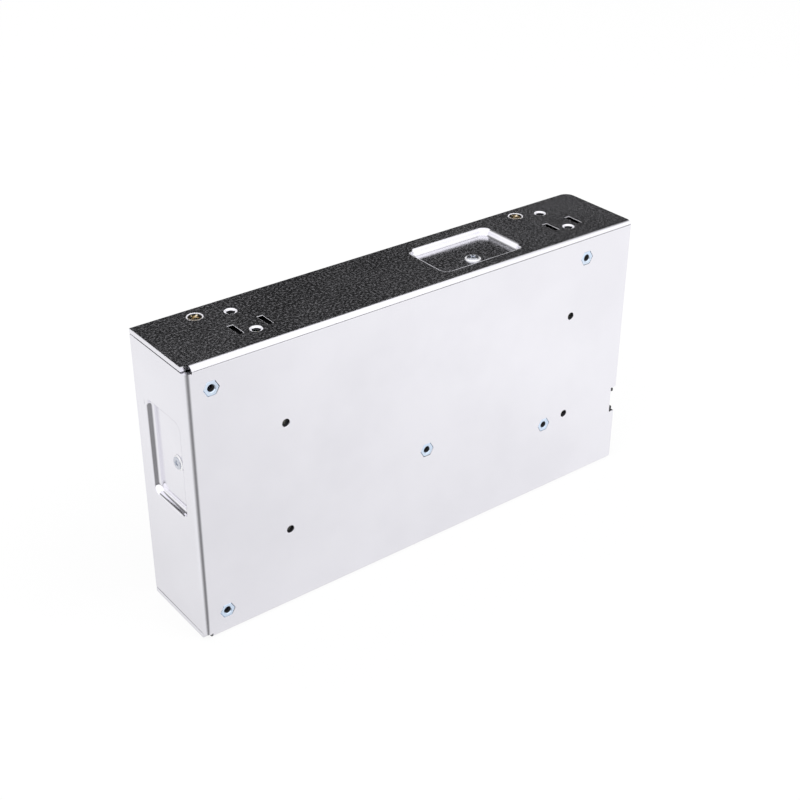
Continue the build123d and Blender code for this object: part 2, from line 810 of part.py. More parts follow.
# Countersunk fan screws through the cover
with BuildPart() as fan_screws:
    with BuildSketch(level(case_depth)):
        with Locations(*fan_screw_shifts):
            RegularPolygon(fan_screw_head, few_sides)
    extrude(amount=-cover_sheet)
    with BuildSketch(level(case_depth)):
        with Locations(*fan_screw_shifts):
            RegularPolygon(fan_screw_radius, few_sides)
    extrude(amount=-fan_flange - 6)
write("fan_screws", fan_screws)

# Power devices clamped against the backs of the two recesses, with their pads, bars, screws and washers.
# Each recess has a frame of its own: local x along the recess, local y up from the base plate, z outwards.
upper_frame = Plane(
    origin=side(case_height - recess_depth).from_local_coords((upper_recess[0], 0, 0)),
    x_dir=(1, 0, 0),
    z_dir=(0, 0, 1),
)
end_frame = Plane(
    origin=end(closed_face + recess_depth).from_local_coords((0, end_recess[1], 0)),
    x_dir=(0, 0, 1),
    z_dir=(-1, 0, 0),
)
device_low = board_top + device_lift


def clamped_devices(frame):
    """Two devices with three leads each, which end on the board."""
    with BuildPart() as devices:
        with BuildSketch(frame.offset(-case_sheet - pad_sheet)):
            with Locations((0, device_low)):
                with GridLocations(device_step, 0, 2, 1):
                    Rectangle(device_width, device_height, align=(Align.CENTER, Align.MIN))
        extrude(amount=-device_thick)
        with BuildSketch(frame.offset(-case_sheet - pad_sheet - device_thick / 2)):
            with Locations((0, board_top)):
                with GridLocations(device_step, 0, 2, 1):
                    with GridLocations(lead_step, 0, 3, 1):
                        Rectangle(lead_width, device_lift, align=(Align.CENTER, Align.MIN))
        extrude(amount=-lead_thick)
    return devices


power_transistors = clamped_devices(upper_frame)
write("power_transistors", power_transistors)
output_rectifiers = clamped_devices(end_frame)
write("output_rectifiers", output_rectifiers)

with BuildPart() as thermal_pads:
    for frame in (upper_frame, end_frame):
        with BuildSketch(frame.offset(-case_sheet)):
            with Locations((0, device_low)):
                with GridLocations(device_step, 0, 2, 1):
                    Rectangle(device_width + 1, device_height + 1, align=(Align.CENTER, Align.MIN))
        extrude(amount=-pad_sheet)
write("thermal_pads", thermal_pads)

clamp_depth = case_sheet + pad_sheet + device_thick
with BuildPart() as clamp_bars:
    for frame in (upper_frame, end_frame):
        with BuildSketch(frame.offset(-clamp_depth)):
            with Locations((0, clamp_level)):
                Rectangle(clamp_length, clamp_width)
                RegularPolygon(clamp_screw_radius + thread_gap, few_sides, mode=Mode.SUBTRACT)
        extrude(amount=-clamp_sheet)
write("clamp_bars", clamp_bars)

with BuildPart() as clamp_washers:
    for frame in (upper_frame, end_frame):
        with BuildSketch(frame):
            with Locations((0, clamp_level)):
                RegularPolygon(clamp_washer, more_sides)
                RegularPolygon(clamp_screw_radius + slip_gap, few_sides, mode=Mode.SUBTRACT)
        extrude(amount=clamp_washer_sheet)
write("clamp_washers", clamp_washers)

with BuildPart() as clamp_screws:
    for frame in (upper_frame, end_frame):
        with BuildSketch(frame.offset(clamp_washer_sheet)):
            with Locations((0, clamp_level)):
                RegularPolygon(clamp_screw_head, more_sides)
        extrude(amount=clamp_screw_height)
        with BuildSketch(frame.offset(clamp_washer_sheet)):
            with Locations((0, clamp_level)):
                RegularPolygon(clamp_screw_radius, few_sides)
        extrude(amount=-(clamp_washer_sheet + clamp_depth + clamp_sheet + 1))
write("clamp_screws", clamp_screws)

# Main transformer: two core halves that meet in the middle, a bobbin on the middle leg and its winding
core_place = spot(0.282, -27.0 / 60.0)
core_half = core_thick / 2
core_window = core_width / 2 - core_leg - core_middle / 2
winding_half = core_width / 2 - core_leg - winding_room
core_level = board_top + winding_half + 1.2
with BuildPart() as transformer_core:
    for turn in (-1, 1):
        with BuildSketch(on(core_place, core_level - core_half)):
            Rectangle(core_length, core_width)
            with GridLocations(0, core_window + core_middle, 1, 2):
                Rectangle(core_length - 2 * core_leg, core_window, mode=Mode.SUBTRACT)
            with Locations((-turn * core_length / 2, 0)):
                Rectangle(core_length, core_width, mode=Mode.SUBTRACT)
        extrude(amount=core_thick)
write("transformer_core", transformer_core)

bobbin_half = core_length / 2 - core_leg - slip_gap
tube_half = (core_middle / 2 + slip_gap, core_half + slip_gap)
with BuildPart() as transformer_bobbin:
    with BuildSketch(on(core_place, core_level)):
        Rectangle(2 * bobbin_half, 2 * (tube_half[0] + bobbin_wall))
    extrude(amount=tube_half[1] + bobbin_wall, both=True)
    for turn in (-1, 1):
        flange_middle = core_place[0] + turn * (bobbin_half - bobbin_flange / 2)
        with BuildSketch(on((flange_middle, core_place[1]), board_top)):
            Rectangle(bobbin_flange, 2 * winding_half)
        extrude(amount=core_level - board_top + winding_half)
    with BuildSketch(on(core_place, core_level)):
        Rectangle(core_length, 2 * tube_half[0])
    extrude(amount=tube_half[1], both=True, mode=Mode.SUBTRACT)
write("transformer_bobbin", transformer_bobbin)

with BuildPart() as transformer_winding:
    winding_frame = Plane(origin=on(core_place, core_level).origin, x_dir=(0, 1, 0), z_dir=(1, 0, 0))
    with BuildSketch(winding_frame) as winding_section:
        Rectangle(2 * winding_half - 1, 2 * winding_half - 1)
        chamfer(winding_section.vertices(), 2.5)
        Rectangle(2 * (tube_half[1] + bobbin_wall), 2 * (tube_half[0] + bobbin_wall), mode=Mode.SUBTRACT)
    extrude(amount=bobbin_half - bobbin_flange, both=True)
write("transformer_winding", transformer_winding)


def toroid(place, low, outer, inner, thick):
    """Ring core with its axis square to the board."""
    with BuildPart() as ring:
        with BuildSketch(on(place, low)):
            RegularPolygon(outer, more_sides)
            RegularPolygon(inner, more_sides, mode=Mode.SUBTRACT)
        extrude(amount=thick)
    return ring


def toroid_winding(place, low, sizes, wire, opening):
    """Wire wound closely round a ring core, left open in a strip of the given width."""
    outer, inner, thick = sizes
    with BuildPart() as turns:
        with BuildSketch(on(place, low - wire)):
            RegularPolygon(outer + wire, more_sides)
            RegularPolygon(inner - wire, more_sides, mode=Mode.SUBTRACT)
        extrude(amount=thick + 2 * wire)
        with BuildSketch(on(place, low)):
            RegularPolygon(outer, more_sides)
            RegularPolygon(inner, more_sides, mode=Mode.SUBTRACT)
        extrude(amount=thick, mode=Mode.SUBTRACT)
        with BuildSketch(on(place, low - wire)):
            Rectangle(opening, 3 * outer)
        extrude(amount=thick + 2 * wire, mode=Mode.SUBTRACT)
    return turns


# Output choke under the fan
choke_place = spot(0.262, 26.0 / 60.0)
choke_low = board_top + choke_wire
choke_thick = fan_under - board_top - 2 * choke_wire - choke_gap
output_choke_core = toroid(choke_place, choke_low, choke_outer, choke_inner, choke_thick)
write("output_choke_core", output_choke_core)
output_choke_winding = toroid_winding(
    choke_place, choke_low, (choke_outer, choke_inner, choke_thick), choke_wire, choke_opening
)
write("output_choke_winding", output_choke_winding)

# Mains filter choke on its base
filter_place = spot(0.797, 30.0 / 60.0)
filter_low = board_top + filter_base_sheet + filter_wire
filter_core = toroid(filter_place, filter_low, filter_outer, filter_inner, filter_thick)
write("filter_core", filter_core)
filter_windings = toroid_winding(
    filter_place, filter_low, (filter_outer, filter_inner, filter_thick), filter_wire, filter_opening
)
write("filter_windings", filter_windings)
with BuildPart() as filter_base:
    with BuildSketch(on(filter_place, board_top)):
        RegularPolygon(filter_outer + 2 * filter_wire, few_sides)
    extrude(amount=filter_base_sheet)
write("filter_base", filter_base)

# Bulk capacitors, up to just under the cover
bulk_place = spot(0.583, 38.0 / 60.0)
bulk_height = headroom - bulk_top_gap
with BuildPart() as bulk_capacitors:
    with BuildSketch(on(bulk_place, board_top)):
        with GridLocations(bulk_step, 0, 2, 1):
            RegularPolygon(bulk_radius, more_sides)
    extrude(amount=bulk_height)
write("bulk_capacitors", bulk_capacitors)

output_place = spot(0.868, -31.0 / 60.0)
with BuildPart() as output_capacitors:
    with BuildSketch(on(output_place, board_top)):
        with GridLocations(output_step, output_step, 2, 3):
            RegularPolygon(output_radius, few_sides)
    extrude(amount=output_height)
write("output_capacitors", output_capacitors)

with BuildPart() as film_capacitors:
    for rise in (40.0 / 60.0, 8.0 / 60.0):
        with BuildSketch(on(spot(0.945, rise), board_top)):
            Rectangle(film_capacitor[0], film_capacitor[1])
        extrude(amount=film_capacitor[2])
write("film_capacitors", film_capacitors)

with BuildPart() as disc_capacitors:
    for share in (0.855, 0.895):
        disc_place = spot(share, -6.0 / 60.0)
        disc_frame = Plane(origin=on(disc_place, board_top + disc_radius + 2).origin, z_dir=(1, 0, 0))
        with BuildSketch(disc_frame):
            RegularPolygon(disc_radius, few_sides)
        extrude(amount=disc_thick / 2, both=True)
        with BuildSketch(on(disc_place, board_top)):
            with GridLocations(0, disc_radius, 1, 2):
                Rectangle(lead_thick, lead_thick)
        extrude(amount=disc_radius + 2)
write("disc_capacitors", disc_capacitors)

# Bridge rectifier on a finned heatsink
bridge_place = spot(0.632, 10.0 / 60.0)
with BuildPart() as bridge_heatsink:
    with BuildSketch(on(bridge_place, board_top)):
        with Locations((0, heatsink_wall / 2)):
            Rectangle(heatsink_length, heatsink_wall)
        with Locations((0, -heatsink_reach / 2)):
            fin_step = (heatsink_length - heatsink_fin) / (heatsink_fins - 1)
            with GridLocations(fin_step, 0, heatsink_fins, 1):
                Rectangle(heatsink_fin, heatsink_reach)
    extrude(amount=heatsink_height)
write("bridge_heatsink", bridge_heatsink)

with BuildPart() as bridge_rectifier:
    bridge_middle = (bridge_place[0], bridge_place[1] + heatsink_wall + bridge_size[1] / 2)
    with BuildSketch(on(bridge_middle, board_top + device_lift)):
        Rectangle(bridge_size[0], bridge_size[1])
    extrude(amount=bridge_size[2])
    with BuildSketch(on(bridge_middle, board_top)):
        with GridLocations(lead_step, 0, 4, 1):
            Rectangle(lead_width, lead_thick)
    extrude(amount=device_lift)
write("bridge_rectifier", bridge_rectifier)

# Inrush thermistor, standing on its leads
with BuildPart() as inrush_thermistor:
    thermistor_place = spot(0.49, 12.0 / 60.0)
    thermistor_frame = Plane(
        origin=on(thermistor_place, board_top + thermistor_radius + 3).origin, x_dir=(1, 0, 0), z_dir=(0, 0, 1)
    )
    with BuildSketch(thermistor_frame):
        RegularPolygon(thermistor_radius, more_sides)
    extrude(amount=thermistor_thick / 2, both=True)
    with BuildSketch(on(thermistor_place, board_top)):
        with GridLocations(thermistor_radius, 0, 2, 1):
            Rectangle(lead_thick, lead_thick)
    extrude(amount=thermistor_radius)
write("inrush_thermistor", inrush_thermistor)

# Fuse: glass tube with two end caps, in spring clips
fuse_place = spot(0.843, 8.0 / 60.0)
fuse_frame = Plane(origin=on(fuse_place, board_top + fuse_lift).origin, x_dir=(0, 1, 0), z_dir=(1, 0, 0))
cap_start = fuse_length / 2 - fuse_cap
with BuildPart() as fuse_tube:
    with BuildSketch(fuse_frame):
        RegularPolygon(fuse_radius - 0.3, few_sides)
        RegularPolygon(fuse_radius - 0.9, few_sides, mode=Mode.SUBTRACT)
    extrude(amount=fuse_length / 2 - 1, both=True)
write("fuse_tube", fuse_tube)

with BuildPart() as fuse_caps:
    for turn in (-1, 1):
        with BuildSketch(fuse_frame.offset(turn * cap_start)):
            RegularPolygon(fuse_radius, few_sides)
        extrude(amount=turn * fuse_cap)
        with BuildSketch(fuse_frame.offset(turn * cap_start)):
            RegularPolygon(fuse_radius - 0.3, few_sides)
        extrude(amount=turn * (fuse_cap - 1), mode=Mode.SUBTRACT)
write("fuse_caps", fuse_caps)

with BuildPart() as fuse_clips:
    for turn in (-1, 1):
        with BuildSketch(fuse_frame.offset(turn * (cap_start + 0.5))):
            with Locations((-fuse_lift, 0)):
                Rectangle(fuse_lift + fuse_radius * 0.4, 2 * fuse_radius + 1, align=(Align.MIN, Align.CENTER))
            RegularPolygon(fuse_radius, few_sides, mode=Mode.SUBTRACT)
        extrude(amount=turn * (fuse_cap - 1))
write("fuse_clips", fuse_clips)

# Standby transformer, small cans, control board, resistors and busbars
with BuildPart() as standby_transformer:
    with BuildSketch(on(spot(0.463, -34.0 / 60.0), board_top)):
        Rectangle(small_core[0], small_core[1])
    extrude(amount=small_core[2])
write("standby_transformer", standby_transformer)

with BuildPart() as small_capacitors:
    with BuildSketch(on(spot(0.548, -34.0 / 60.0), board_top)):
        with GridLocations(0, 3 * small_can_radius, 1, 3):
            RegularPolygon(small_can_radius, few_sides)
    extrude(amount=small_can_height)
write("small_capacitors", small_capacitors)

control_place = spot(0.68, -32.0 / 60.0)
with BuildPart() as control_board:
    with BuildSketch(on(control_place, board_top)):
        Rectangle(control_board_size[0], control_board_sheet)
    extrude(amount=control_board_size[1])
write("control_board", control_board)

with BuildPart() as control_chips:
    chip_frame = Plane(
        origin=on((control_place[0], control_place[1] - control_board_sheet / 2), board_top).origin,
        x_dir=(1, 0, 0),
        z_dir=(0, 0, 1),
    )
    with BuildSketch(chip_frame):
        with Locations((0, control_board_size[1] / 2)):
            with GridLocations(2 * chip_size[1], 0, 2, 1):
                Rectangle(chip_size[1], chip_size[0])
    extrude(amount=chip_size[2])
write("control_chips", control_chips)

with BuildPart() as power_resistors:
    for shift in (-1, 1):
        place = spot(0.68 + shift * 0.045, -20.0 / 60.0)
        resistor_frame = Plane(origin=on(place, board_top + resistor_radius).origin, z_dir=(1, 0, 0))
        with BuildSketch(resistor_frame):
            RegularPolygon(resistor_radius, few_sides)
        extrude(amount=resistor_length / 2, both=True)
write("power_resistors", power_resistors)

busbar_start, busbar_rise = spot(0.405, -4.0 / 60.0)
busbar_end = spot(0.8, 0)[0]
with BuildPart() as output_busbars:
    for row in range(2):
        with BuildSketch(level(board_top)):
            with Locations((busbar_start, busbar_rise - row * 5 * busbar_sheet)):
                Rectangle(busbar_end - busbar_start, busbar_sheet, align=(Align.MIN, Align.MAX))
        extrude(amount=busbar_height)
write("output_busbars", output_busbars)

# Fan lead: a socket on the board, the plug in it and the twin lead up to the housing
header_place = (fan_place[0] + fan_size / 2 + header_size[0] + 2, fan_place[1] - 6)
header_top = board_top + header_size[2]
with BuildPart() as fan_header:
    with BuildSketch(on(header_place, board_top)):
        Rectangle(header_size[0], header_size[1])
    extrude(amount=header_size[2])
write("fan_header", fan_header)

with BuildPart() as fan_plug:
    with BuildSketch(on(header_place, header_top)):
        Rectangle(header_size[0] - 1, header_size[1] - 1)
    extrude(amount=plug_height)
write("fan_plug", fan_plug)

lead_low = header_top + plug_height
lead_corner = fan_under + fan_flange / 2
with BuildPart() as fan_lead:
    with BuildLine():
        lead_path = Polyline(
            level(lead_low).from_local_coords((header_place[0], header_place[1], 0)),
            level(lead_corner - lead_bend).from_local_coords((header_place[0], header_place[1], 0)),
            level(lead_corner).from_local_coords((header_place[0] - lead_bend, header_place[1], 0)),
            level(lead_corner).from_local_coords((fan_place[0] + fan_size / 2, header_place[1], 0)),
        )
    with BuildSketch(on(header_place, lead_low)):
        Rectangle(2 * lead_radius, 4 * lead_radius)
    sweep(path=lead_path, transition=Transition.RIGHT)
write("fan_lead", fan_lead)
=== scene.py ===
import json
from math import asin, cos, pi, radians, sin, sqrt, tau

import bmesh
import bpy
from mathutils import Matrix, Vector

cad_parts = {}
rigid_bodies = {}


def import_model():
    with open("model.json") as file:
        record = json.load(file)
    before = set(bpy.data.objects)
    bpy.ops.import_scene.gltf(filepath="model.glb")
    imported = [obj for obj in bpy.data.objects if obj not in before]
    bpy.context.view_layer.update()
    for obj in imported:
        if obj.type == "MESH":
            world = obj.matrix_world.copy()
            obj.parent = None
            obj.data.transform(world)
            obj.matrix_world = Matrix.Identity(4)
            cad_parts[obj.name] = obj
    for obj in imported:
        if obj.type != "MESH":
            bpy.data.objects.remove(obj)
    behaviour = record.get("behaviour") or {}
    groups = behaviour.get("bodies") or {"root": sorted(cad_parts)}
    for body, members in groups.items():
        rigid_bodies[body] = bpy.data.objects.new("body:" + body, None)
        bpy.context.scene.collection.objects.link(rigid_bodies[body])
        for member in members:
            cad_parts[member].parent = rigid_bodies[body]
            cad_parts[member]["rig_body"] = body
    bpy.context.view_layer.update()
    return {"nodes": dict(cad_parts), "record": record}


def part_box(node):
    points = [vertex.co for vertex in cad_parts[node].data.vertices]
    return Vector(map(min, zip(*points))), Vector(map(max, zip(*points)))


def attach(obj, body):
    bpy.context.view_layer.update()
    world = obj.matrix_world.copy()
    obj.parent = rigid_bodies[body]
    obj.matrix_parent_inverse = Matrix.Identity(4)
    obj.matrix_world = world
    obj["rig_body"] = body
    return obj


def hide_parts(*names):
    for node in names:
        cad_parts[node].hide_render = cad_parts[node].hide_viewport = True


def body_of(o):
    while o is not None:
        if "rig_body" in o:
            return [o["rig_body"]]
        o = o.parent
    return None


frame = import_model()
solids = frame["nodes"]
scene = bpy.context.scene
scene.view_settings.view_transform = "Standard"
mm = 0.001
touch = 0.04 * mm  # a point this near a face lies on it
slotOf = {part["node"]: part["material_slot"] for part in frame["record"]["subparts"]}
print("frame loaded:", len(solids), "solids")

# X runs along the case, Y from the base plate to the cover, Z up.
# A height is measured from the base plate's face, in millimetres.
caseLow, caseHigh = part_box("chassis")
midZ = (caseLow.z + caseHigh.z) / 2
coverFace, boardTop = 41.0, 7.6


def level(height):
    return caseLow.y + height * mm


# Euler turns that point a piece's own Z along a direction of the case
facing = {
    "cover": (-pi / 2, 0, 0),
    "base": (pi / 2, 0, 0),
    "up": (0, 0, 0),
    "down": (pi, 0, 0),
    "left": (0, -pi / 2, 0),
    "right": (0, pi / 2, 0),
}


class Link:
    # a socket that can be used in a sum: each operator adds its Math node
    def __init__(self, pad, socket):
        self.pad = pad
        self.socket = socket

    def math(self, operation, other=0.0):
        return self.pad.number(operation, self, other)

    def __add__(self, other):
        return self.math("ADD", other)

    __radd__ = __add__

    def __sub__(self, other):
        return self.math("SUBTRACT", other)

    def __rsub__(self, other):
        return self.pad.number("SUBTRACT", other, self)

    def __mul__(self, other):
        return self.math("MULTIPLY", other)

    __rmul__ = __mul__

    def __truediv__(self, other):
        return self.math("DIVIDE", other)

    def __pow__(self, other):
        return self.math("POWER", other)

    def __mod__(self, other):
        return self.math("FLOORED_MODULO", other)

    def __gt__(self, other):
        return self.math("GREATER_THAN", other)

    def __lt__(self, other):
        return self.math("LESS_THAN", other)

    def __abs__(self):
        return self.math("ABSOLUTE")

    def most(self, other):
        return self.math("MAXIMUM", other)


class Pad:
    # a node tree under construction, and what it belongs to
    def __init__(self, owner, tree):
        self.owner = owner
        self.tree = tree

    def add(self, kind, values=None, settings=None, output=0):
        node = self.tree.nodes.new(kind)
        for key, value in (settings or {}).items():
            setattr(node, key, value)
        for key, value in (values or {}).items():
            if isinstance(value, Link):
                self.tree.links.new(value.socket, node.inputs[key])
            else:
                node.inputs[key].default_value = value
        return Link(self, node.outputs[output]) if len(node.outputs) else node

    def number(self, operation, first, second):
        return self.add("ShaderNodeMath", {0: first, 1: second}, {"operation": operation})

    def join(self, *links):
        node = self.tree.nodes.new("GeometryNodeJoinGeometry")
        for link in reversed(links):
            self.tree.links.new(link.socket, node.inputs[0])
        return Link(self, node.outputs[0])

    def split(self, vector):
        first = self.add("ShaderNodeSeparateXYZ", {0: vector})
        return [Link(self, socket) for socket in first.socket.node.outputs]

    def vector(self, x=0.0, y=0.0, z=0.0):
        return self.add("ShaderNodeCombineXYZ", {0: x, 1: y, 2: z})

    def tint(self, factor, *colours):
        # mixes two colours, each a link or three numbers
        first, second = (colour if isinstance(colour, Link) else (*colour, 1.0) for colour in colours)
        return self.add("ShaderNodeMix", {0: factor, 6: first, 7: second}, {"data_type": "RGBA"}, 2)

    def between(self, value, low, high, start=0.0, end=1.0):
        # low up to the start, high from the end on
        return self.add("ShaderNodeMapRange", {0: value, 1: start, 2: end, 3: low, 4: high})

    def noise(self, place, scale, detail=3.0, rough=0.55):
        values = {"Vector": place, "Scale": scale, "Detail": detail, "Roughness": rough}
        return self.add("ShaderNodeTexNoise", values)

    def bump(self, height, strength, distance):
        return self.add("ShaderNodeBump", {"Height": height, "Strength": strength, "Distance": distance * mm})

    def rays(self):
        # 1 for what the camera sees, and 1 for what shows in reflections and through clear parts
        outputs = self.add("ShaderNodeLightPath").socket.node.outputs
        mirrored = Link(self, outputs["Is Glossy Ray"]).most(Link(self, outputs["Is Transmission Ray"]))
        return Link(self, outputs["Is Camera Ray"]), mirrored


# Materials


def objectPlace(pad, stretch=(1.0, 1.0, 1.0)):
    place = pad.add("ShaderNodeTexCoord", output=3)
    return pad.add("ShaderNodeMapping", {0: place, 3: stretch})


def newFinish(name):
    material = bpy.data.materials.new(name)
    material.use_nodes = True
    material.node_tree.nodes.clear()
    pad = Pad(material, material.node_tree)
    return pad, objectPlace(pad)


def surface(pad, values):
    shader = pad.add("ShaderNodeBsdfPrincipled", values)
    pad.add("ShaderNodeOutputMaterial", {0: shader})
    return pad.owner


# places in millimetres, measured from the middle of the case's height and length
sheetLook = {
    # the cut colour is the near-black of the painted shade on the walls of slots and holes
    "colour": (0.885, 0.876, 0.925), "shade": (0.82, 0.812, 0.862), "cut": (0.02, 0.02, 0.022),
    "roughness": (0.13, 0.22), "grain": 1000.0, "lines": (60.0, 3200.0, 3200.0), "clouds": 20.0,
    "flatWall": (0.985, 0.999), "dishSlope": (0.8, 0.975), "steep": 0.4,
    "wallInside": 59.9, "dishInside": 61.3, "baseInside": 2.06, "baseHalf": 56.0, "cutsReach": 100.0,
    "wallHalf": 17.5, "recess": (35.0, 27.0), "bendEnd": (109.5, 0.2), "bendHeight": 3.3, "bendInside": 59.4,
}


def caseAluminium():
    # rolled sheet: fine grain, faint drawing lines and cloudy patches where it was handled
    look = sheetLook
    pad, place = newFinish("caseAluminium")
    grain = pad.noise(place, look["grain"], 2.0)
    clouds = pad.noise(place, look["clouds"], 4.0, 0.6)
    lines = pad.noise(objectPlace(pad, look["lines"]), 1.0, 2.0)
    patches = pad.between(clouds, 0.0, 1.0, 0.36, 0.68)
    out, up = pad.split(pad.add("ShaderNodeTexCoord", output=1))[1:]
    # the grain shows on the long walls and hardly on the base plate
    wall = pad.between(abs(up), 0.08, 1.0, *look["flatWall"])
    spread = patches * 0.55 + lines * wall * 0.25 + grain * wall * 0.35
    speck = pad.between(grain, 0.0, 1.0, 0.48, 0.70) * wall
    # painted shade: the walls of slots and holes inside the sheet are coloured near-black, standing in for
    # the shade in them
    x, y, z = pad.split(place)
    fromMiddle = abs(z - midZ)
    recessX, recessHalf = look["recess"]
    pierced = (abs(y) < look["wallHalf"] * mm) * (abs(x - recessX * mm) > recessHalf * mm)
    sideCutShade = (fromMiddle > look["wallInside"] * mm) * (abs(up) < look["steep"]) * pierced
    baseCutShade = (y < level(look["baseInside"])) * (abs(out) < look["steep"])
    baseCutShade = baseCutShade * (fromMiddle < look["baseHalf"] * mm)
    bendX, bendNear = look["bendEnd"]
    bendCutShade = (abs(x + bendX * mm) < bendNear * mm) * (y < level(look["bendHeight"]))
    bendCutShade = bendCutShade * (fromMiddle > look["bendInside"] * mm)
    cut = (sideCutShade.most(baseCutShade) * (abs(x) < look["cutsReach"] * mm)).most(bendCutShade)
    # the dished rims are cut bright and scatter the light
    steep, flat = look["dishSlope"]
    dished = (abs(up) > steep) * (abs(up) < flat) * (fromMiddle > look["dishInside"] * mm) * pierced
    sheet = pad.tint(patches * 0.6 + grain * wall * 0.4, look["colour"], look["shade"])
    return surface(pad, {
        # painted shade: the walls of slots and holes are mixed towards the near-black cut colour
        "Base Color": pad.tint(cut * 0.96, sheet, look["cut"]),
        "Metallic": 1.0 - speck * 0.13 - patches * 0.008 - dished * 0.75,
        "Roughness": pad.between(spread, *look["roughness"], 0.2, 1.0) + dished * 0.2,
        "Normal": pad.bump((grain * 1.2 + lines * 0.3) * wall, 0.45, 0.07),
    })


def metalFinish(name, colour, shade, roughness, grain=1800.0, clouds=60.0, metallic=1.0):
    pad, place = newFinish(name)
    fine = pad.noise(place, grain)
    broad = pad.noise(place, clouds)
    return surface(pad, {
        "Base Color": pad.tint(pad.between(broad, 0.0, 1.0, 0.35, 0.65), colour, shade),
        "Metallic": metallic,
        "Roughness": pad.between(broad * 0.5 + fine * 0.5, *roughness, 0.3, 0.7),
        "Normal": pad.bump(fine, 0.12, 0.05),
    })


def coverSteel(name, colour, shade, roughness, crystal):
    # zinc coated sheet: large soft crystals under a fine rolled grain
    pad, place = newFinish(name)
    warp = pad.noise(place, 90.0, 2.0)
    shift = pad.vector(warp * 0.006, warp * 0.004, 0.0)
    bent = pad.add("ShaderNodeVectorMath", {0: place, 1: shift}, {"operation": "ADD"})
    tone = pad.split(pad.add("ShaderNodeTexVoronoi", {"Vector": bent, "Scale": crystal}, output="Color"))[0]
    fine = pad.noise(place, 2200.0, 2.0)
    return surface(pad, {
        "Base Color": pad.tint(tone * 0.7 + fine * 0.3, colour, shade),
        "Metallic": 1.0,
        "Roughness": pad.between(tone * 0.6 + fine * 0.4, *roughness),
        "Normal": pad.bump(fine + tone * 0.2, 0.12, 0.05),
    })


def mouldedFinish(name, colour, shade, roughness, texture=1500.0, relief=0.2, coat=0.0):
    # moulded plastic: fine spark texture, slight flow marks
    pad, place = newFinish(name)
    fine = pad.noise(place, texture, 2.0)
    flow = pad.between(pad.noise(place, 45.0), 0.0, 1.0, 0.3, 0.7)
    return surface(pad, {
        "Base Color": pad.tint(flow * 0.7 + fine * 0.3, colour, shade),
        "Roughness": pad.between(fine * 0.5 + flow * 0.5, *roughness, 0.3, 0.7),
        "Normal": pad.bump(fine, relief, 0.08),
        "Coat Weight": coat,
    })


def boardFinish(name, mask, track, tin, grid):
    # solder mask over copper: raised tracks and round pads in a loose grid
    pad, place = newFinish(name)
    x, z = pad.split(place)[::2]
    gridX = abs((x / (grid * mm)) % 1.0 - 0.5)
    gridZ = abs((z / (grid * mm)) % 1.0 - 0.5)
    pads = (gridX * gridX + gridZ * gridZ) < 0.012
    wander = pad.noise(place, 70.0, 1.0, 0.3)
    tracks = abs(((wander * 9.0) % 1.0) - 0.5) < 0.19
    fine = pad.noise(place, 900.0, 2.0)
    tinned = pad.tint(pads, pad.tint(tracks, mask, track), tin)
    return surface(pad, {
        "Base Color": pad.tint(fine * 0.15, tinned, (0.05, 0.12, 0.06)),
        "Metallic": pads * 0.9,
        "Roughness": pad.between(fine, 0.22, 0.38),
        "Normal": pad.bump(tracks * 0.5 + pads * 0.6 + fine * 0.1, 0.35, 0.12),
    })


def clearFinish(name, colour, roughness, scale, rate):
    # transparent plastic or glass with faint ripples
    pad, place = newFinish(name)
    ripple = pad.noise(place, scale, 2.0)
    return surface(pad, {
        "Base Color": pad.tint(ripple * 0.4, colour, (0.93, 0.95, 0.95)),
        "Roughness": pad.between(ripple, roughness, roughness + 0.08),
        "IOR": 1.49,
        "Transmission Weight": rate,
        "Normal": pad.bump(ripple, 0.12, 0.1),
    })


def tapeFinish(name, colour, shade, wrap):
    # polyester tape wound over a coil: overlapping edges across the winding
    pad, place = newFinish(name)
    fine = pad.noise(place, 500.0)
    step = ((pad.split(place)[0] + fine * 0.0006) / (wrap * mm)) % 1.0
    edge = step < 0.07
    return surface(pad, {
        "Base Color": pad.tint(edge * 0.6 + fine * 0.4, colour, shade),
        "Roughness": pad.between(fine, 0.25, 0.42),
        "Coat Weight": 0.25,
        "Normal": pad.bump(step * 0.6 + fine * 0.3, 0.3, 0.15),
    })


def grainyFinish(name, colour, shade, roughness, scale):
    # sintered or cast body with pits and specks
    pad, place = newFinish(name)
    pits = pad.add("ShaderNodeTexVoronoi", {"Vector": place, "Scale": scale})
    fine = pad.noise(place, scale * 0.6, 4.0)
    return surface(pad, {
        "Base Color": pad.tint(pad.between(fine, 0.0, 1.0, 0.35, 0.65), colour, shade),
        "Roughness": pad.between(fine, *roughness),
        "Normal": pad.bump(fine * 0.7 + pits * 0.5, 0.4, 0.15),
    })


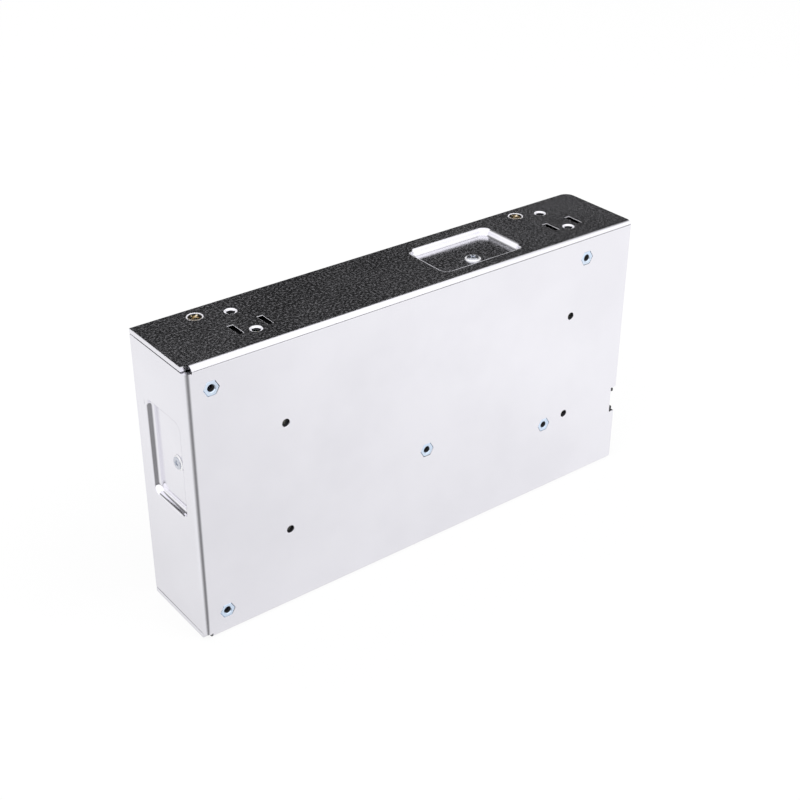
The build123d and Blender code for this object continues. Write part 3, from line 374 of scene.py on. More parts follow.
# each row gives the maker's colours, roughness and scales; names with a low line are the record's slots
finishRows = {
    metalFinish: {
        "zinc_steel": ((0.70, 0.72, 0.77), (0.60, 0.63, 0.70), (0.22, 0.36)),
        "nickel_plate": ((0.74, 0.71, 0.66), (0.66, 0.63, 0.58), (0.18, 0.30)),
        "heatsink_aluminium": ((0.78, 0.79, 0.80), (0.70, 0.71, 0.73), (0.30, 0.45)),
        "copper": ((0.66, 0.30, 0.13), (0.52, 0.20, 0.08), (0.20, 0.34), 1200.0, 220.0),
        "blueZinc": ((0.76, 0.86, 0.99), (0.66, 0.79, 0.97), (0.24, 0.36)),
        # this finish is painted shade: near-black metal standing in for the shade on the threads deep in the
        # tapped holes
        "tappedDark": ((0.10, 0.10, 0.11), (0.05, 0.05, 0.055), (0.35, 0.5)),
        "yellowZinc": ((0.80, 0.72, 0.56), (0.70, 0.62, 0.50), (0.14, 0.24), 1500.0, 300.0),
        "washerBright": ((0.94, 0.94, 0.95), (0.86, 0.86, 0.88), (0.3, 0.42), 1800.0, 60.0, 0.4),
        "canTopMetal": ((0.78, 0.78, 0.79), (0.70, 0.70, 0.71), (0.22, 0.34)),
    },
    mouldedFinish: {
        "black_plastic": ((0.022, 0.022, 0.023), (0.034, 0.034, 0.035), (0.38, 0.55)),
        "white_plastic": ((0.76, 0.75, 0.70), (0.70, 0.69, 0.64), (0.34, 0.48)),
        "blue_plastic": ((0.035, 0.15, 0.46), (0.028, 0.11, 0.36), (0.30, 0.44)),
        "red_plastic": ((0.50, 0.03, 0.02), (0.40, 0.02, 0.015), (0.32, 0.46)),
        "yellow_box": ((0.62, 0.46, 0.08), (0.54, 0.39, 0.06), (0.34, 0.5)),
        "lead_red": ((0.45, 0.02, 0.015), (0.34, 0.015, 0.012), (0.34, 0.5), 900.0, 0.1),
        "sleeve_black": ((0.016, 0.018, 0.024), (0.03, 0.032, 0.042), (0.2, 0.32), 700.0, 0.08, 0.3),
        # this finish is painted shade: near-black standing in for the shade on the standoffs' bore threads
        # and behind the long walls' slots
        "boreDark": ((0.012, 0.012, 0.014), (0.02, 0.02, 0.022), (0.6, 0.8)),
    },
    grainyFinish: {
        "device_black": ((0.02, 0.02, 0.021), (0.035, 0.034, 0.034), (0.5, 0.7), 1500.0),
        "ferrite": ((0.045, 0.043, 0.042), (0.075, 0.072, 0.07), (0.45, 0.68), 1100.0),
        "pad_grey": ((0.36, 0.37, 0.38), (0.30, 0.31, 0.32), (0.6, 0.78), 900.0),
        "dark_green_coating": ((0.02, 0.055, 0.03), (0.03, 0.08, 0.045), (0.4, 0.6), 700.0),
        "resistor_grey": ((0.30, 0.33, 0.34), (0.24, 0.27, 0.28), (0.45, 0.62), 800.0),
    },
    clearFinish: {
        "clear_film": ((0.86, 0.85, 0.78), 0.22, 120.0, 0.75),
        "clear_plastic": ((0.93, 0.95, 0.96), 0.06, 90.0, 0.96),
        "fuse_glass": ((0.95, 0.97, 0.96), 0.04, 200.0, 1.0),
        "green_lens": ((0.12, 0.62, 0.20), 0.12, 400.0, 0.6),
    },
    coverSteel: {"cover_steel": ((0.60, 0.61, 0.63), (0.70, 0.71, 0.74), (0.27, 0.42), 130.0)},
    boardFinish: {"board_green": ((0.018, 0.115, 0.052), (0.035, 0.20, 0.085), (0.66, 0.66, 0.64), 12.7)},
    tapeFinish: {"yellow_tape": ((0.66, 0.50, 0.06), (0.50, 0.36, 0.03), 9.0)},
}
finishes = {"case_aluminium": caseAluminium()}
for maker, rows in finishRows.items():
    for slotName, row in rows.items():
        start, *rest = slotName.split("_")
        finishes[slotName] = maker(start + "".join(word.title() for word in rest), *row)
for nodeName, solid in solids.items():
    solid.material_slots[0].material = finishes[slotOf[nodeName]]
print("finishes made:", len(finishes))


# Mesh helpers


def addObject(name, mesh):
    piece = bpy.data.objects.new(name, mesh)
    scene.collection.objects.link(piece)
    return piece


def meshFrom(name, work, sharp=35.0):
    mesh = bpy.data.meshes.new(name)
    work.to_mesh(mesh)
    work.free()
    mesh.shade_smooth()
    mesh.set_sharp_from_angle(angle=radians(sharp))
    return mesh


def settle(piece):
    # the modifiers' result becomes the piece's own mesh
    bpy.context.view_layer.update()
    graph = bpy.context.evaluated_depsgraph_get()
    made = bpy.data.meshes.new_from_object(
        piece.evaluated_get(graph), preserve_all_data_layers=True, depsgraph=graph,
    )
    piece.modifiers.clear()
    piece.data = made
    made.name = piece.name
    return piece


def carry(piece, body, slotName, replaced=(), finish=None):
    # the finish is the slot's own unless another is named
    piece.data.materials.clear()
    piece.data.materials.append(finishes[finish or slotName])
    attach(piece, body)
    if replaced:
        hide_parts(*replaced)
    return piece


def soften(nodeName, width, turns=2, angle=35.0, wide=None, name=None, shape=None):
    # a copy of a solid with its triangles joined and its edges broken, as a real part's are
    solid = solids[nodeName]
    name = name or nodeName + "Finished"
    work = bmesh.new()
    work.from_mesh(solid.data)
    bmesh.ops.remove_doubles(work, verts=work.verts, dist=0.002 * mm)
    bmesh.ops.dissolve_limit(work, angle_limit=radians(0.6), verts=work.verts, edges=work.edges)
    weight = work.edges.layers.float.new("bevel_weight_edge")
    rims = shape(work) if shape else set()
    widths = {}
    for edge in work.edges:
        if len(edge.link_faces) == 2 and (edge in rims or edge.calc_face_angle(0.0) > radians(angle)):
            widths[edge] = wide(edge) if wide else width
    widest = max(widths.values())
    for edge, own in widths.items():
        edge[weight] = own / widest
    piece = addObject(name, meshFrom(name, work, 28.0))
    if "custom_normal" in piece.data.attributes:
        piece.data.attributes.remove(piece.data.attributes["custom_normal"])
    edges = piece.modifiers.new("edges", "BEVEL")
    edges.limit_method = "WEIGHT"
    edges.width = widest * mm
    edges.segments = turns
    edges.use_clamp_overlap = False
    settle(piece)
    piece.data.set_sharp_from_angle(angle=radians(40))
    flat = piece.modifiers.new("flat", "WEIGHTED_NORMAL")
    flat.weight = 100
    flat.keep_sharp = True
    settle(piece)
    return carry(piece, body_of(solid)[0], slotOf[nodeName], [nodeName])


def skin(name, rings, ends="", sharp=35.0):
    # joins rings of points in millimetres; the ends are open, "capped" or joined in a "loop"
    work = bmesh.new()
    made = [[work.verts.new(Vector(point) * mm) for point in ring] for ring in rings]
    for low, high in zip(made, made[1:] + (made[:1] if ends == "loop" else [])):
        steps = max(len(low), len(high))
        for i in range(steps if steps > 1 else 0):
            j = (i + 1) % steps
            if len(low) == 1:
                work.faces.new((low[0], high[i], high[j]))
            elif len(high) == 1:
                work.faces.new((low[i], low[j], high[0]))
            else:
                work.faces.new((low[i], low[j], high[j], high[i]))
    if ends == "capped":
        work.faces.new(made[0])
        work.faces.new(list(reversed(made[-1])))
    bmesh.ops.recalc_face_normals(work, faces=work.faces)
    return addObject(name, meshFrom(name, work, sharp))


def circle(radius, steps, centre=(0.0, 0.0)):
    angles = [tau * i / steps for i in range(steps)]
    return [(centre[0] + radius * cos(angle), centre[1] + radius * sin(angle)) for angle in angles]


def turned(name, profile, steps=24, ends="", sharp=35.0):
    # turned shape about its own Z, from (radius, height) pairs in millimetres
    rings = []
    for radius, height in profile:
        rings.append([(x, y, height) for x, y in circle(radius, steps if radius else 1)])
    return skin(name, rings, ends, sharp)


def evenProfile(half, *middle):
    # a profile whose two ends are alike, from its upper half
    return [(radius, -height) for radius, height in half] + list(middle) + list(reversed(half))


def cutCross(piece, reach, width, depth, top):
    # driver recess: a tapered plus sign
    rings = []
    for height, share in ((top, 1.0), (top - depth, 0.45)):
        tip, side = reach * share, width / 2 * (0.55 + 0.45 * share)
        rings.append([
            Matrix.Rotation(quarter * pi / 2, 3, "Z") @ Vector((x, y, height))
            for quarter in range(4) for x, y in ((tip, -side), (tip, side), (side, side))
        ])
    cutter = skin("crossCutter", rings, "capped")
    cut = piece.modifiers.new("cut", "BOOLEAN")
    cut.operation = "DIFFERENCE"
    cut.solver = "EXACT"
    cut.object = cutter
    settle(piece)
    bpy.data.objects.remove(cutter)
    piece.data.set_sharp_from_angle(angle=radians(35))
    return piece


def screw(name, look):
    # turned head and threaded shank, its seat at height 0; the cross has its reach, width and depth
    radius, height, shank, length = look["head"], look["height"], look["shank"], look["length"]
    pitch = look.get("pitch", 0.5)
    if height:
        pan = ((0, 1), (0.72, 0.98), (0.84, 0.92), (0.93, 0.76), (0.985, 0.5), (1, 0.15), (0.97, 0))
        profile = [(radius * across, height * up) for across, up in pan]
    else:
        profile = [(0, 0), (0.5 * radius, 0), (0.93 * radius, 0), (radius, -0.02), (radius, -0.18)]
        profile.append((shank * 1.25, -(radius - shank) * 0.86 - 0.18))
    seat = profile[-1][1]
    profile.append((shank, seat))
    start = seat - 0.25
    while start > -length + pitch:
        profile += [(shank, start), (shank - 0.16, start - pitch / 2)]
        start -= pitch
    profile += [(shank * 0.8, -length), (0, -length)]
    return cutCross(turned(name, profile, 28), *look["cross"], height + 0.05)


# Geometry Nodes: copies of one piece on the points of a mesh


def treeWith(name, inputs):
    # a geometry tree whose inputs are given by a default or a kind; returns its pad and the inputs' links
    tree = bpy.data.node_groups.new(name, "GeometryNodeTree")
    kinds = {float: "Float", int: "Int"}
    for label, value in {"Geometry": "Geometry", **inputs, "Finish": "Material"}.items():
        kind = kinds.get(type(value), value)
        socket = tree.interface.new_socket(label, in_out="INPUT", socket_type=f"NodeSocket{kind}")
        if kind != value:
            socket.default_value = value
    tree.interface.new_socket("Geometry", in_out="OUTPUT", socket_type="NodeSocketGeometry")
    pad = Pad(tree, tree)
    entry = tree.nodes.new("NodeGroupInput")
    return pad, {socket.name: Link(pad, socket) for socket in entry.outputs if socket.name}


def treeEnd(pad, geometry, finish):
    real = pad.add("GeometryNodeRealizeInstances", {0: geometry})
    done = pad.add("GeometryNodeSetMaterial", {"Geometry": real, "Material": finish})
    pad.add("NodeGroupOutput", {0: done})
    return pad.owner


def onPlaces(pad, given, piece):
    # a copy of the piece on each place, turned as the place says
    turn = pad.add("GeometryNodeInputNamedAttribute", {0: "turn"}, {"data_type": "FLOAT_VECTOR"})
    placed = {"Points": given["Geometry"], "Instance": piece, "Rotation": turn}
    return pad.add("GeometryNodeInstanceOnPoints", placed)


def copiesTree():
    pad, given = treeWith("copiesOnPlaces", {"Piece": "Object", "Loose turn": 0.0, "Seed": 7})
    source = {"transform_space": "ORIGINAL"}
    piece = pad.add("GeometryNodeObjectInfo", {0: given["Piece"]}, source, "Geometry")
    spun = pad.add("FunctionNodeRandomValue", {2: -1.0, 3: 1.0, 8: given["Seed"]}, {"data_type": "FLOAT"}, 1)
    loosened = pad.vector(0.0, 0.0, spun * given["Loose turn"])
    loose = {"Instances": onPlaces(pad, given, piece), "Rotation": loosened}
    return treeEnd(pad, pad.add("GeometryNodeRotateInstances", loose), given["Finish"])


copies = copiesTree()


def placesMesh(name, places):
    mesh = bpy.data.meshes.new(name)
    mesh.from_pydata([place for place, way in places], [], [])
    turn = mesh.attributes.new("turn", "FLOAT_VECTOR", "POINT")
    for point, (place, way) in zip(turn.data, places):
        point.vector = facing[way]
    return mesh


def grown(name, tree, mesh, finish, values):
    # what a tree makes of a mesh, as a plain mesh
    piece = addObject(name, mesh)
    setter = piece.modifiers.new(name, "NODES")
    setter.node_group = tree
    sockets = {item.name: item.identifier for item in tree.interface.items_tree if item.in_out == "INPUT"}
    for label, value in {**values, "Finish": finishes[finish]}.items():
        setter[sockets[label]] = value
    return settle(piece)


def scatter(name, master, places, slotName, replaced=(), finish=None, looseTurn=0.0, seed=7):
    # places: (x, y, z) in metres with the direction that the piece's top faces
    values = {"Piece": master, "Loose turn": looseTurn, "Seed": seed}
    piece = grown(name, copies, placesMesh(name, places), finish or slotName, values)
    bpy.data.objects.remove(master)
    return carry(piece, "case", slotName, replaced, finish)


def turnedParts(name, profile, places, slotName, replaced=(), steps=24, ends="", sharp=35.0, finish=None):
    scatter(name, turned(name + "One", profile, steps, ends, sharp), places, slotName, replaced, finish)


def screws(name, nodeName, look, places, slotName="zinc_steel", finish=None):
    # the loose turn and its seed are part of the screw's look
    scatter(name, screw(name[:-1], look), places, slotName, [nodeName], finish, *look["loose"])


def onBase(places):
    # places as (x, z) in millimetres on the base plate's face
    return [((x * mm, level(0), z * mm), "base") for x, z in places]


def onBoard(places, height=boardTop):
    # places as (x, z) in millimetres, facing the cover
    return [((x * mm, level(height), z * mm), "cover") for x, z in places]


def onWalls(places, sunk=0.0):
    # places as (x, height) in millimetres on the upper and the lower long wall
    spots = []
    for x, height in places:
        spots.append(((x * mm, level(height), caseHigh.z - sunk * mm), "up"))
        spots.append(((x * mm, level(height), caseLow.z + sunk * mm), "down"))
    return spots


# Camera, floor and light

view = {
    "place": (-0.31267, -0.40605, 0.36301),
    "right": (0.79358, -0.60845, 0.00397),
    "down": (-0.30497, -0.40339, -0.86271),
    "forward": (0.52652, 0.68342, -0.50568),
    "lens": 62.19,
    "sensor": 36.0,
}
camera = addObject("camera", bpy.data.cameras.new("camera"))
scene.camera = camera
axes = [Vector(view["right"]), -Vector(view["down"]), -Vector(view["forward"])]
camera.matrix_world = Matrix.Translation(view["place"]) @ Matrix(axes).transposed().to_4x4()
camera.data.lens = view["lens"]
camera.data.sensor_width = view["sensor"]
camera.data.clip_start = 0.01
camera.data.clip_end = 50.0

# a row of four gives two levels, and the places, angles or directions where they begin
stageLook = {
    "floorSize": 12.0, "floorDrop": 0.1, "floorColour": (0.92, 0.92, 0.92), "floorFleck": (0.8, 0.8, 0.8),
    "floorShown": 0.90, "floorGloss": 0.84,
    "glow": (0.83, 0.985, -0.08, 0.16), "endGlow": (0.08, 0.0, -0.17, -0.11),
    "glowReach": (1.0, 0.12, 0.90, 1.60),
    "corner": (-0.112, -0.0205), "cornerShade": 0.90,
    "cornerStart": (0.0, 1.0, 0.1, 0.9), "cornerEnd": (1.0, 0.0, 1.3, 1.8),
    "darkSide": (0.61, 0.79), "darkWidth": (0.0, 1.0, 0.15, 0.45), "darkLevel": 0.012,
    "darkTop": (1.0, 0.0, 0.72, 0.79), "darkLow": (0.0, 1.0, 0.12, 0.22),
    "frontWidth": (1.0, 0.0, -0.15, 0.1), "frontTop": (1.0, 0.0, 0.02, 0.09),
    "roomLevel": 1.20, "worldLevel": 0.62,
}


def floorFinish():
    # white to the camera and to reflections, with the object's soft shadow kept
    look = stageLook
    pad, place = newFinish("floorPaper")
    x, y = pad.split(place)[:2]
    seen, mirrored = pad.rays()
    glow = pad.between(x, *look["glow"]) + pad.between(x, *look["endGlow"])
    fade = pad.between((x * x + y * y) ** 0.5, *look["glowReach"])
    # darker out from the near corner, which shades the vertical bend and the drawn wall of the end recess
    cornerX, cornerY = look["corner"]
    angle = (cornerY - y).math("ARCTAN2", cornerX - x)
    corner = pad.between(angle, *look["cornerStart"]) * pad.between(angle, *look["cornerEnd"])
    shown = glow * fade * (1.0 - corner * look["cornerShade"]) * mirrored + seen
    fleck = pad.noise(place, 300.0, 2.0) * 0.05
    paper = pad.add("ShaderNodeBsdfDiffuse", {0: pad.tint(fleck, look["floorColour"], look["floorFleck"])})
    light = pad.add("ShaderNodeEmission", {0: (1, 1, 1, 1), 1: shown})
    share = seen * look["floorShown"] + mirrored * look["floorGloss"]
    mixed = pad.add("ShaderNodeMixShader", {0: share, 1: paper, 2: light})
    pad.add("ShaderNodeOutputMaterial", {0: mixed})
    return pad.owner


def worldLight():
    # pale room: white to the camera, dark at eye height and bright above for reflections
    look = stageLook
    world = bpy.data.worlds.new("studio")
    scene.world = world
    world.use_nodes = True
    world.node_tree.nodes.clear()
    pad = Pad(world, world.node_tree)
    x, y, z = pad.split(pad.add("ShaderNodeTexCoord"))
    seen, mirrored = pad.rays()
    sideX, sideY = look["darkSide"]
    band = pad.between(x * sideX + y * sideY, *look["darkWidth"])
    band = band * pad.between(z, *look["darkTop"]) * pad.between(z, *look["darkLow"])
    front = pad.between(y, *look["frontWidth"]) * pad.between(z, *look["frontTop"])
    dark = band.most(front)
    room = dark * look["darkLevel"] + (1.0 - dark) * look["roomLevel"]
    plain = (1.0 - seen) * (1.0 - mirrored)
    strength = seen + (1.0 - seen) * mirrored * room + plain * look["worldLevel"]
    sky = pad.add("ShaderNodeBackground", {0: (1, 1, 1, 1), 1: strength})
    pad.add("ShaderNodeOutputWorld", {0: sky})


floorMesh = bpy.data.meshes.new("floor")
half = stageLook["floorSize"] / 2
floorCorners = [(-half, -half, 0), (half, -half, 0), (half, half, 0), (-half, half, 0)]
floorMesh.from_pydata(floorCorners, [], [(0, 1, 2, 3)])
floorMesh.materials.append(floorFinish())
floor = addObject("floor", floorMesh)
floor.location.z = -stageLook["floorDrop"] * mm
worldLight()

lamps = {
    "keyLamp": {"place": (0.55, -0.75, 1.25), "size": 1.1, "watts": 11.0},
    "fillLamp": {"place": (-0.95, -0.35, 0.95), "size": 0.9, "watts": 5.0},
    "backLamp": {"place": (0.1, 1.1, 1.3), "size": 1.2, "watts": 7.0},
}
for name, lamp in lamps.items():
    light = bpy.data.lights.new(name, "AREA")
    light.size = lamp["size"]
    light.energy = lamp["watts"]
    holder = addObject(name, light)
    holder.location = lamp["place"]
    aim = Vector((0, 0, midZ)) - Vector(lamp["place"])
    holder.rotation_euler = aim.to_track_quat("-Z", "Y").to_euler()
    holder.visible_glossy = False
print("camera and light set")


# Case

caseLook = {
    "edge": 0.16, "drawn": 0.95, "floorRadius": 1.1, "recessDepth": 2.8, "recessHeights": (7.0, 34.5),
    "baseTap": 0.3, "baseTapX": (-70.75, 79.25), "baseTapZ": (37.0, 87.0), "rim": 0.07, "clampHeight": 15.75,
    "tapReach": 2.0, "screwClear": 4.0, "corner": {"x": -105.8, "height": 3.6, "fromMiddle": 59.2},
}
sideTaps = [(x, height) for x in (-74.6, 85.8) for height in (12.0, 30.3)]
sunkScrews = [(-88.0, 34.4), (74.9, 34.4)]
sideDish = {"hole": 1.65, "depth": 0.5, "flare": 2.6}
screwDish = {"hole": 2.9, "depth": 0.5, "flare": 3.4}
dishes = [(Vector(place), sideDish) for place, way in onWalls(sideTaps)]
dishes += [(Vector(place), screwDish) for place, way in onWalls(sunkScrews)]

# each drawn recess: the axis it runs along, its reach and screw there, and its outer axis, face and way in
recesses = [
    {"along": 0, "reach": (10.0, 60.0), "screw": 34.7, "out": 2, "face": caseHigh.z, "inward": -1},
    {"along": 2, "reach": (50.0, 101.0), "screw": 76.0, "out": 0, "face": caseLow.x, "inward": 1},
]


def caseEdge(edge):
    # width of each broken edge in millimetres: wide where the sheet is drawn or a hole is chamfered
    middle = (edge.verts[0].co + edge.verts[1].co) / 2
    low, high = caseLook["recessHeights"]
    for recess in recesses:
        place = middle[recess["along"]] / mm
        inside = recess["reach"][0] < place < recess["reach"][1] and level(low) < middle.y < level(high)
        screwAway = Vector((place - recess["screw"], (middle.y - level(caseLook["clampHeight"])) / mm)).length
        for depth, key in ((0, "drawn"), (caseLook["recessDepth"], "floorRadius")):
            face = recess["face"] + recess["inward"] * depth * mm
            onFace = all(abs(vert.co[recess["out"]] - face) < touch for vert in edge.verts)
            if inside and onFace and screwAway >= caseLook["screwClear"]:
                return caseLook[key]
    for centre, dish in dishes:
        flat = all(abs(vert.co.z - centre.z) < touch for vert in edge.verts)
        if flat and (middle.xy - centre.xy).length < (dish["flare"] + 0.05) * mm:
            return caseLook["rim"]
    tapAway = min(abs(middle.x - x * mm) for x in caseLook["baseTapX"])
    if abs(middle.y - level(0)) < touch and tapAway < caseLook["tapReach"] * mm:
        return caseLook["baseTap"]
    # the corner reliefs at the closed end stay as they are
    corner = caseLook["corner"]
    relief = middle.x < corner["x"] * mm and middle.y < level(corner["height"])
    return 0.0 if relief and abs(middle.z - midZ) > corner["fromMiddle"] * mm else caseLook["edge"]


def onRing(edge, centre, radius, near):
    flat = all(abs(vert.co.z - centre.z) < touch for vert in edge.verts)
    return flat and all(abs((vert.co - centre).length - radius * mm) < near * mm for vert in edge.verts)


def dishHoles(work):
    # shallow bright dishes round the side holes and the sunk screws; gives the edges of their outer rims
    for centre, dish in dishes:
        made = bmesh.ops.bevel(
            work, geom=[edge for edge in work.edges if onRing(edge, centre, dish["hole"], 0.06)],
            offset=dish["depth"] * mm, offset_type="OFFSET", segments=1, profile=0.5, affect="EDGES",
            clamp_overlap=False,
        )
        for vert in made["verts"]:
            if abs(vert.co.z - centre.z) < touch:
                vert.co = centre + (vert.co - centre).normalized() * dish["flare"] * mm
    rims = set()
    for centre, dish in dishes:
        rims.update(edge for edge in work.edges if onRing(edge, centre, dish["flare"], 0.02))
    return rims


case = soften("chassis", caseLook["edge"], 3, 32.0, caseEdge, "caseBody", dishHoles)
print("case:", len(case.data.polygons), "faces")

# painted shade: a near-black sheet laid inside the long walls, behind their slots, stands in for the shade
# inside the case
slotShadeLook = {"halfLength": 5.4, "halfWidth": 2.6, "corner": 1.0, "sheet": 0.25, "sunk": 2.02}
slotShadePlaces = [(x, 16.0) for x in (-81.2, -68.0, 79.2, 92.4)]


def slotFilm():
    outline = []
    corner = slotShadeLook["corner"]
    middleX, middleY = slotShadeLook["halfWidth"] - corner, slotShadeLook["halfLength"] - corner
    for quarter, (sideX, sideY) in enumerate(((1, 1), (-1, 1), (-1, -1), (1, -1))):
        for i in range(4):
            angle = (quarter + i / 3) * pi / 2
            outline.append((sideX * middleX + corner * cos(angle), sideY * middleY + corner * sin(angle)))
    rings = [[(x, y, height) for x, y in outline] for height in (0.0, -slotShadeLook["sheet"])]
    return skin("slotFilm", rings, "capped")


scatter("slotFilms", slotFilm(), onWalls(slotShadePlaces, slotShadeLook["sunk"]), "black_plastic", finish="boreDark")

# threads in the tapped M4 holes, as a helix in each; their near-black finish is painted shade in the holes
tapLook = {"radius": 1.66, "ridge": 0.30, "pitch": 0.7, "sheet": 2.0}
tapPlaces = onBase([(x, z) for x in caseLook["baseTapX"] for z in caseLook["baseTapZ"]]) + onWalls(sideTaps)


def threadTree():
    pad, given = treeWith("tappedThread", {
        "Radius": tapLook["radius"] * mm, "Ridge": tapLook["ridge"] * mm, "Pitch": tapLook["pitch"] * mm,
        "Depth": tapLook["sheet"] * mm,
    })
    turns = given["Depth"] / given["Pitch"] - 1.5
    helix = pad.add("GeometryNodeCurveSpiral", {
        "Resolution": 18, "Rotations": turns, "Start Radius": given["Radius"], "End Radius": given["Radius"],
        "Height": turns * given["Pitch"] * -1.0,
    })
    start = pad.vector(0.0, 0.0, given["Pitch"] * -0.95)
    moved = pad.add("GeometryNodeTransform", {0: helix, "Translation": start})
    ridge = pad.add("GeometryNodeCurvePrimitiveCircle", {"Resolution": 4, "Radius": given["Ridge"]})
    thread = pad.add("GeometryNodeCurveToMesh", {"Curve": moved, "Profile Curve": ridge, "Fill Caps": True})
    return treeEnd(pad, onPlaces(pad, given, thread), given["Finish"])


threads = grown("tappedThreads", threadTree(), placesMesh("tappedThreads", tapPlaces), "tappedDark", {})
carry(threads, "case", "case_aluminium", finish="tappedDark")

# clinch standoffs: hexagonal head pressed flush, a turned rim round the bore
standoffLook = {"flats": 5.9, "bore": 1.5, "rim": 2.05, "length": 6.0, "steps": 24}
standoffPlaces = [(-101.9, 113.0), (-101.9, 10.8), (86.6, 113.0), (-0.9, 48.0), (66.9, 35.5)]


def standoff():
    # its own Z points out of the base plate, with the head's face at height 0
    look = standoffLook
    hexRadius, bore, rim, length = look["flats"] / sqrt(3), look["bore"], look["rim"], look["length"]
    # height, the hexagon's and the circle's radius, and the circle's share in the outline
    rows = [
        (-length, hexRadius, 0, 0), (-0.25, hexRadius, 0, 0),
        (-0.03, hexRadius * 0.93, hexRadius * 0.837, 0.2), (-0.03, 0, rim * 1.12, 1),
        (-0.12, 0, rim, 1), (-0.12, 0, bore * 1.22, 1), (-0.4, 0, bore, 1), (-length, 0, bore, 1),
    ]
    rings = []
    for height, corner, radius, share in rows:
        ring = []
        for i in range(look["steps"]):
            angle = tau * i / look["steps"]
            local = (angle + pi / 6) % (pi / 3) - pi / 6
            reach = corner * cos(pi / 6) / cos(local) * (1 - share) + radius * share
            ring.append((reach * cos(angle + pi / 6), reach * sin(angle + pi / 6), height))
        rings.append(ring)
    return skin("standoff", rings, "loop", 25.0)


standoffSpots = onBase(standoffPlaces)
scatter("clinchStandoffs", standoff(), standoffSpots, "zinc_steel", ["clinch_standoffs"], "blueZinc")
# painted shade: the standoffs' bore threads are near-black, standing in for the shade in the bores
boreProfile = [(1.49, -0.45), (1.49, -2.6), (1.4, -2.6)]
for step in range(8):
    boreProfile += [(1.27, -2.5 + step * 0.25), (1.4, -2.375 + step * 0.25)]
turnedParts("standoffThreads", boreProfile, standoffSpots, "zinc_steel", (), 20, "loop", finish="boreDark")

# countersunk cover screws with a cross recess
coverScrewLook = {
    "head": 2.72, "height": 0.0, "shank": 1.24, "length": 4.4, "cross": (1.95, 0.85, 1.0), "loose": (0.7, 3),
}
screws("coverScrews", "cover_screws", coverScrewLook, onWalls(sunkScrews, 0.02), finish="yellowZinc")

# pan head clamp screws with their washers, in the two recesses
clampScrewLook = {
    "head": 2.6, "height": 0.5, "shank": 1.22, "length": 12.0, "cross": (1.5, 0.8, 0.8), "loose": (0.6, 11),
}
washerProfile = [
    (1.5, 0.02), (3.25, 0.0), (3.38, 0.1), (3.36, 0.22), (2.85, 0.58), (1.6, 0.6), (1.45, 0.5), (1.45, 0.1),
]
washerPlaces, clampPlaces = [], []
for recess, way in zip(recesses, ("up", "left")):
    spot = Vector((0, level(caseLook["clampHeight"]), 0))
    spot[recess["along"]] = recess["screw"] * mm
    spot[recess["out"]] = recess["face"] + recess["inward"] * caseLook["recessDepth"] * mm
    washerPlaces.append((tuple(spot), way))
    spot[recess["out"]] -= recess["inward"] * washerProfile[5][1] * mm
    clampPlaces.append((tuple(spot), way))
turnedParts(
    "clampWashers", washerProfile, washerPlaces, "zinc_steel", ["clamp_washers"], 36, "loop", 30.0,
    "washerBright",
)
screws("clampScrews", "clamp_screws", clampScrewLook, clampPlaces)
print("case fasteners made")


# Perforated cover

coverLook = {
    "sheet": 1.0, "left": -110.3, "right": 86.0, "low": 2.2, "high": 121.8, "bend": 1.4, "lip": 4.0,
    "hole": 2.75, "pitch": 6.3, "margin": 6.0,
    "fan": (-56.43, 36.0), "fanField": 27.5, "rings": (8.5, 13.5, 18.5), "slot": 3.4, "strut": 3.2,
    "screwShift": 20.0, "screwHole": 2.75,
}
lugLook = {"width": 14.0, "reach": 10.0, "hole": 1.35, "corner": 2.0}


def arcSlots(centre, inner, outer, gap):
    # the four arcs of one ring slot, left whole where the cross struts pass
    loops = []
    for quarter in range(4):
        loop = []
        for radius, order in ((inner, range(13)), (outer, range(12, -1, -1))):
            edge = asin(gap / 2 / radius)
            for i in order:
                angle = edge + (pi / 2 - 2 * edge) * i / 12 + quarter * pi / 2
                loop.append((centre[0] + radius * cos(angle), centre[1] + radius * sin(angle)))
        loops.append(loop)
    return loops


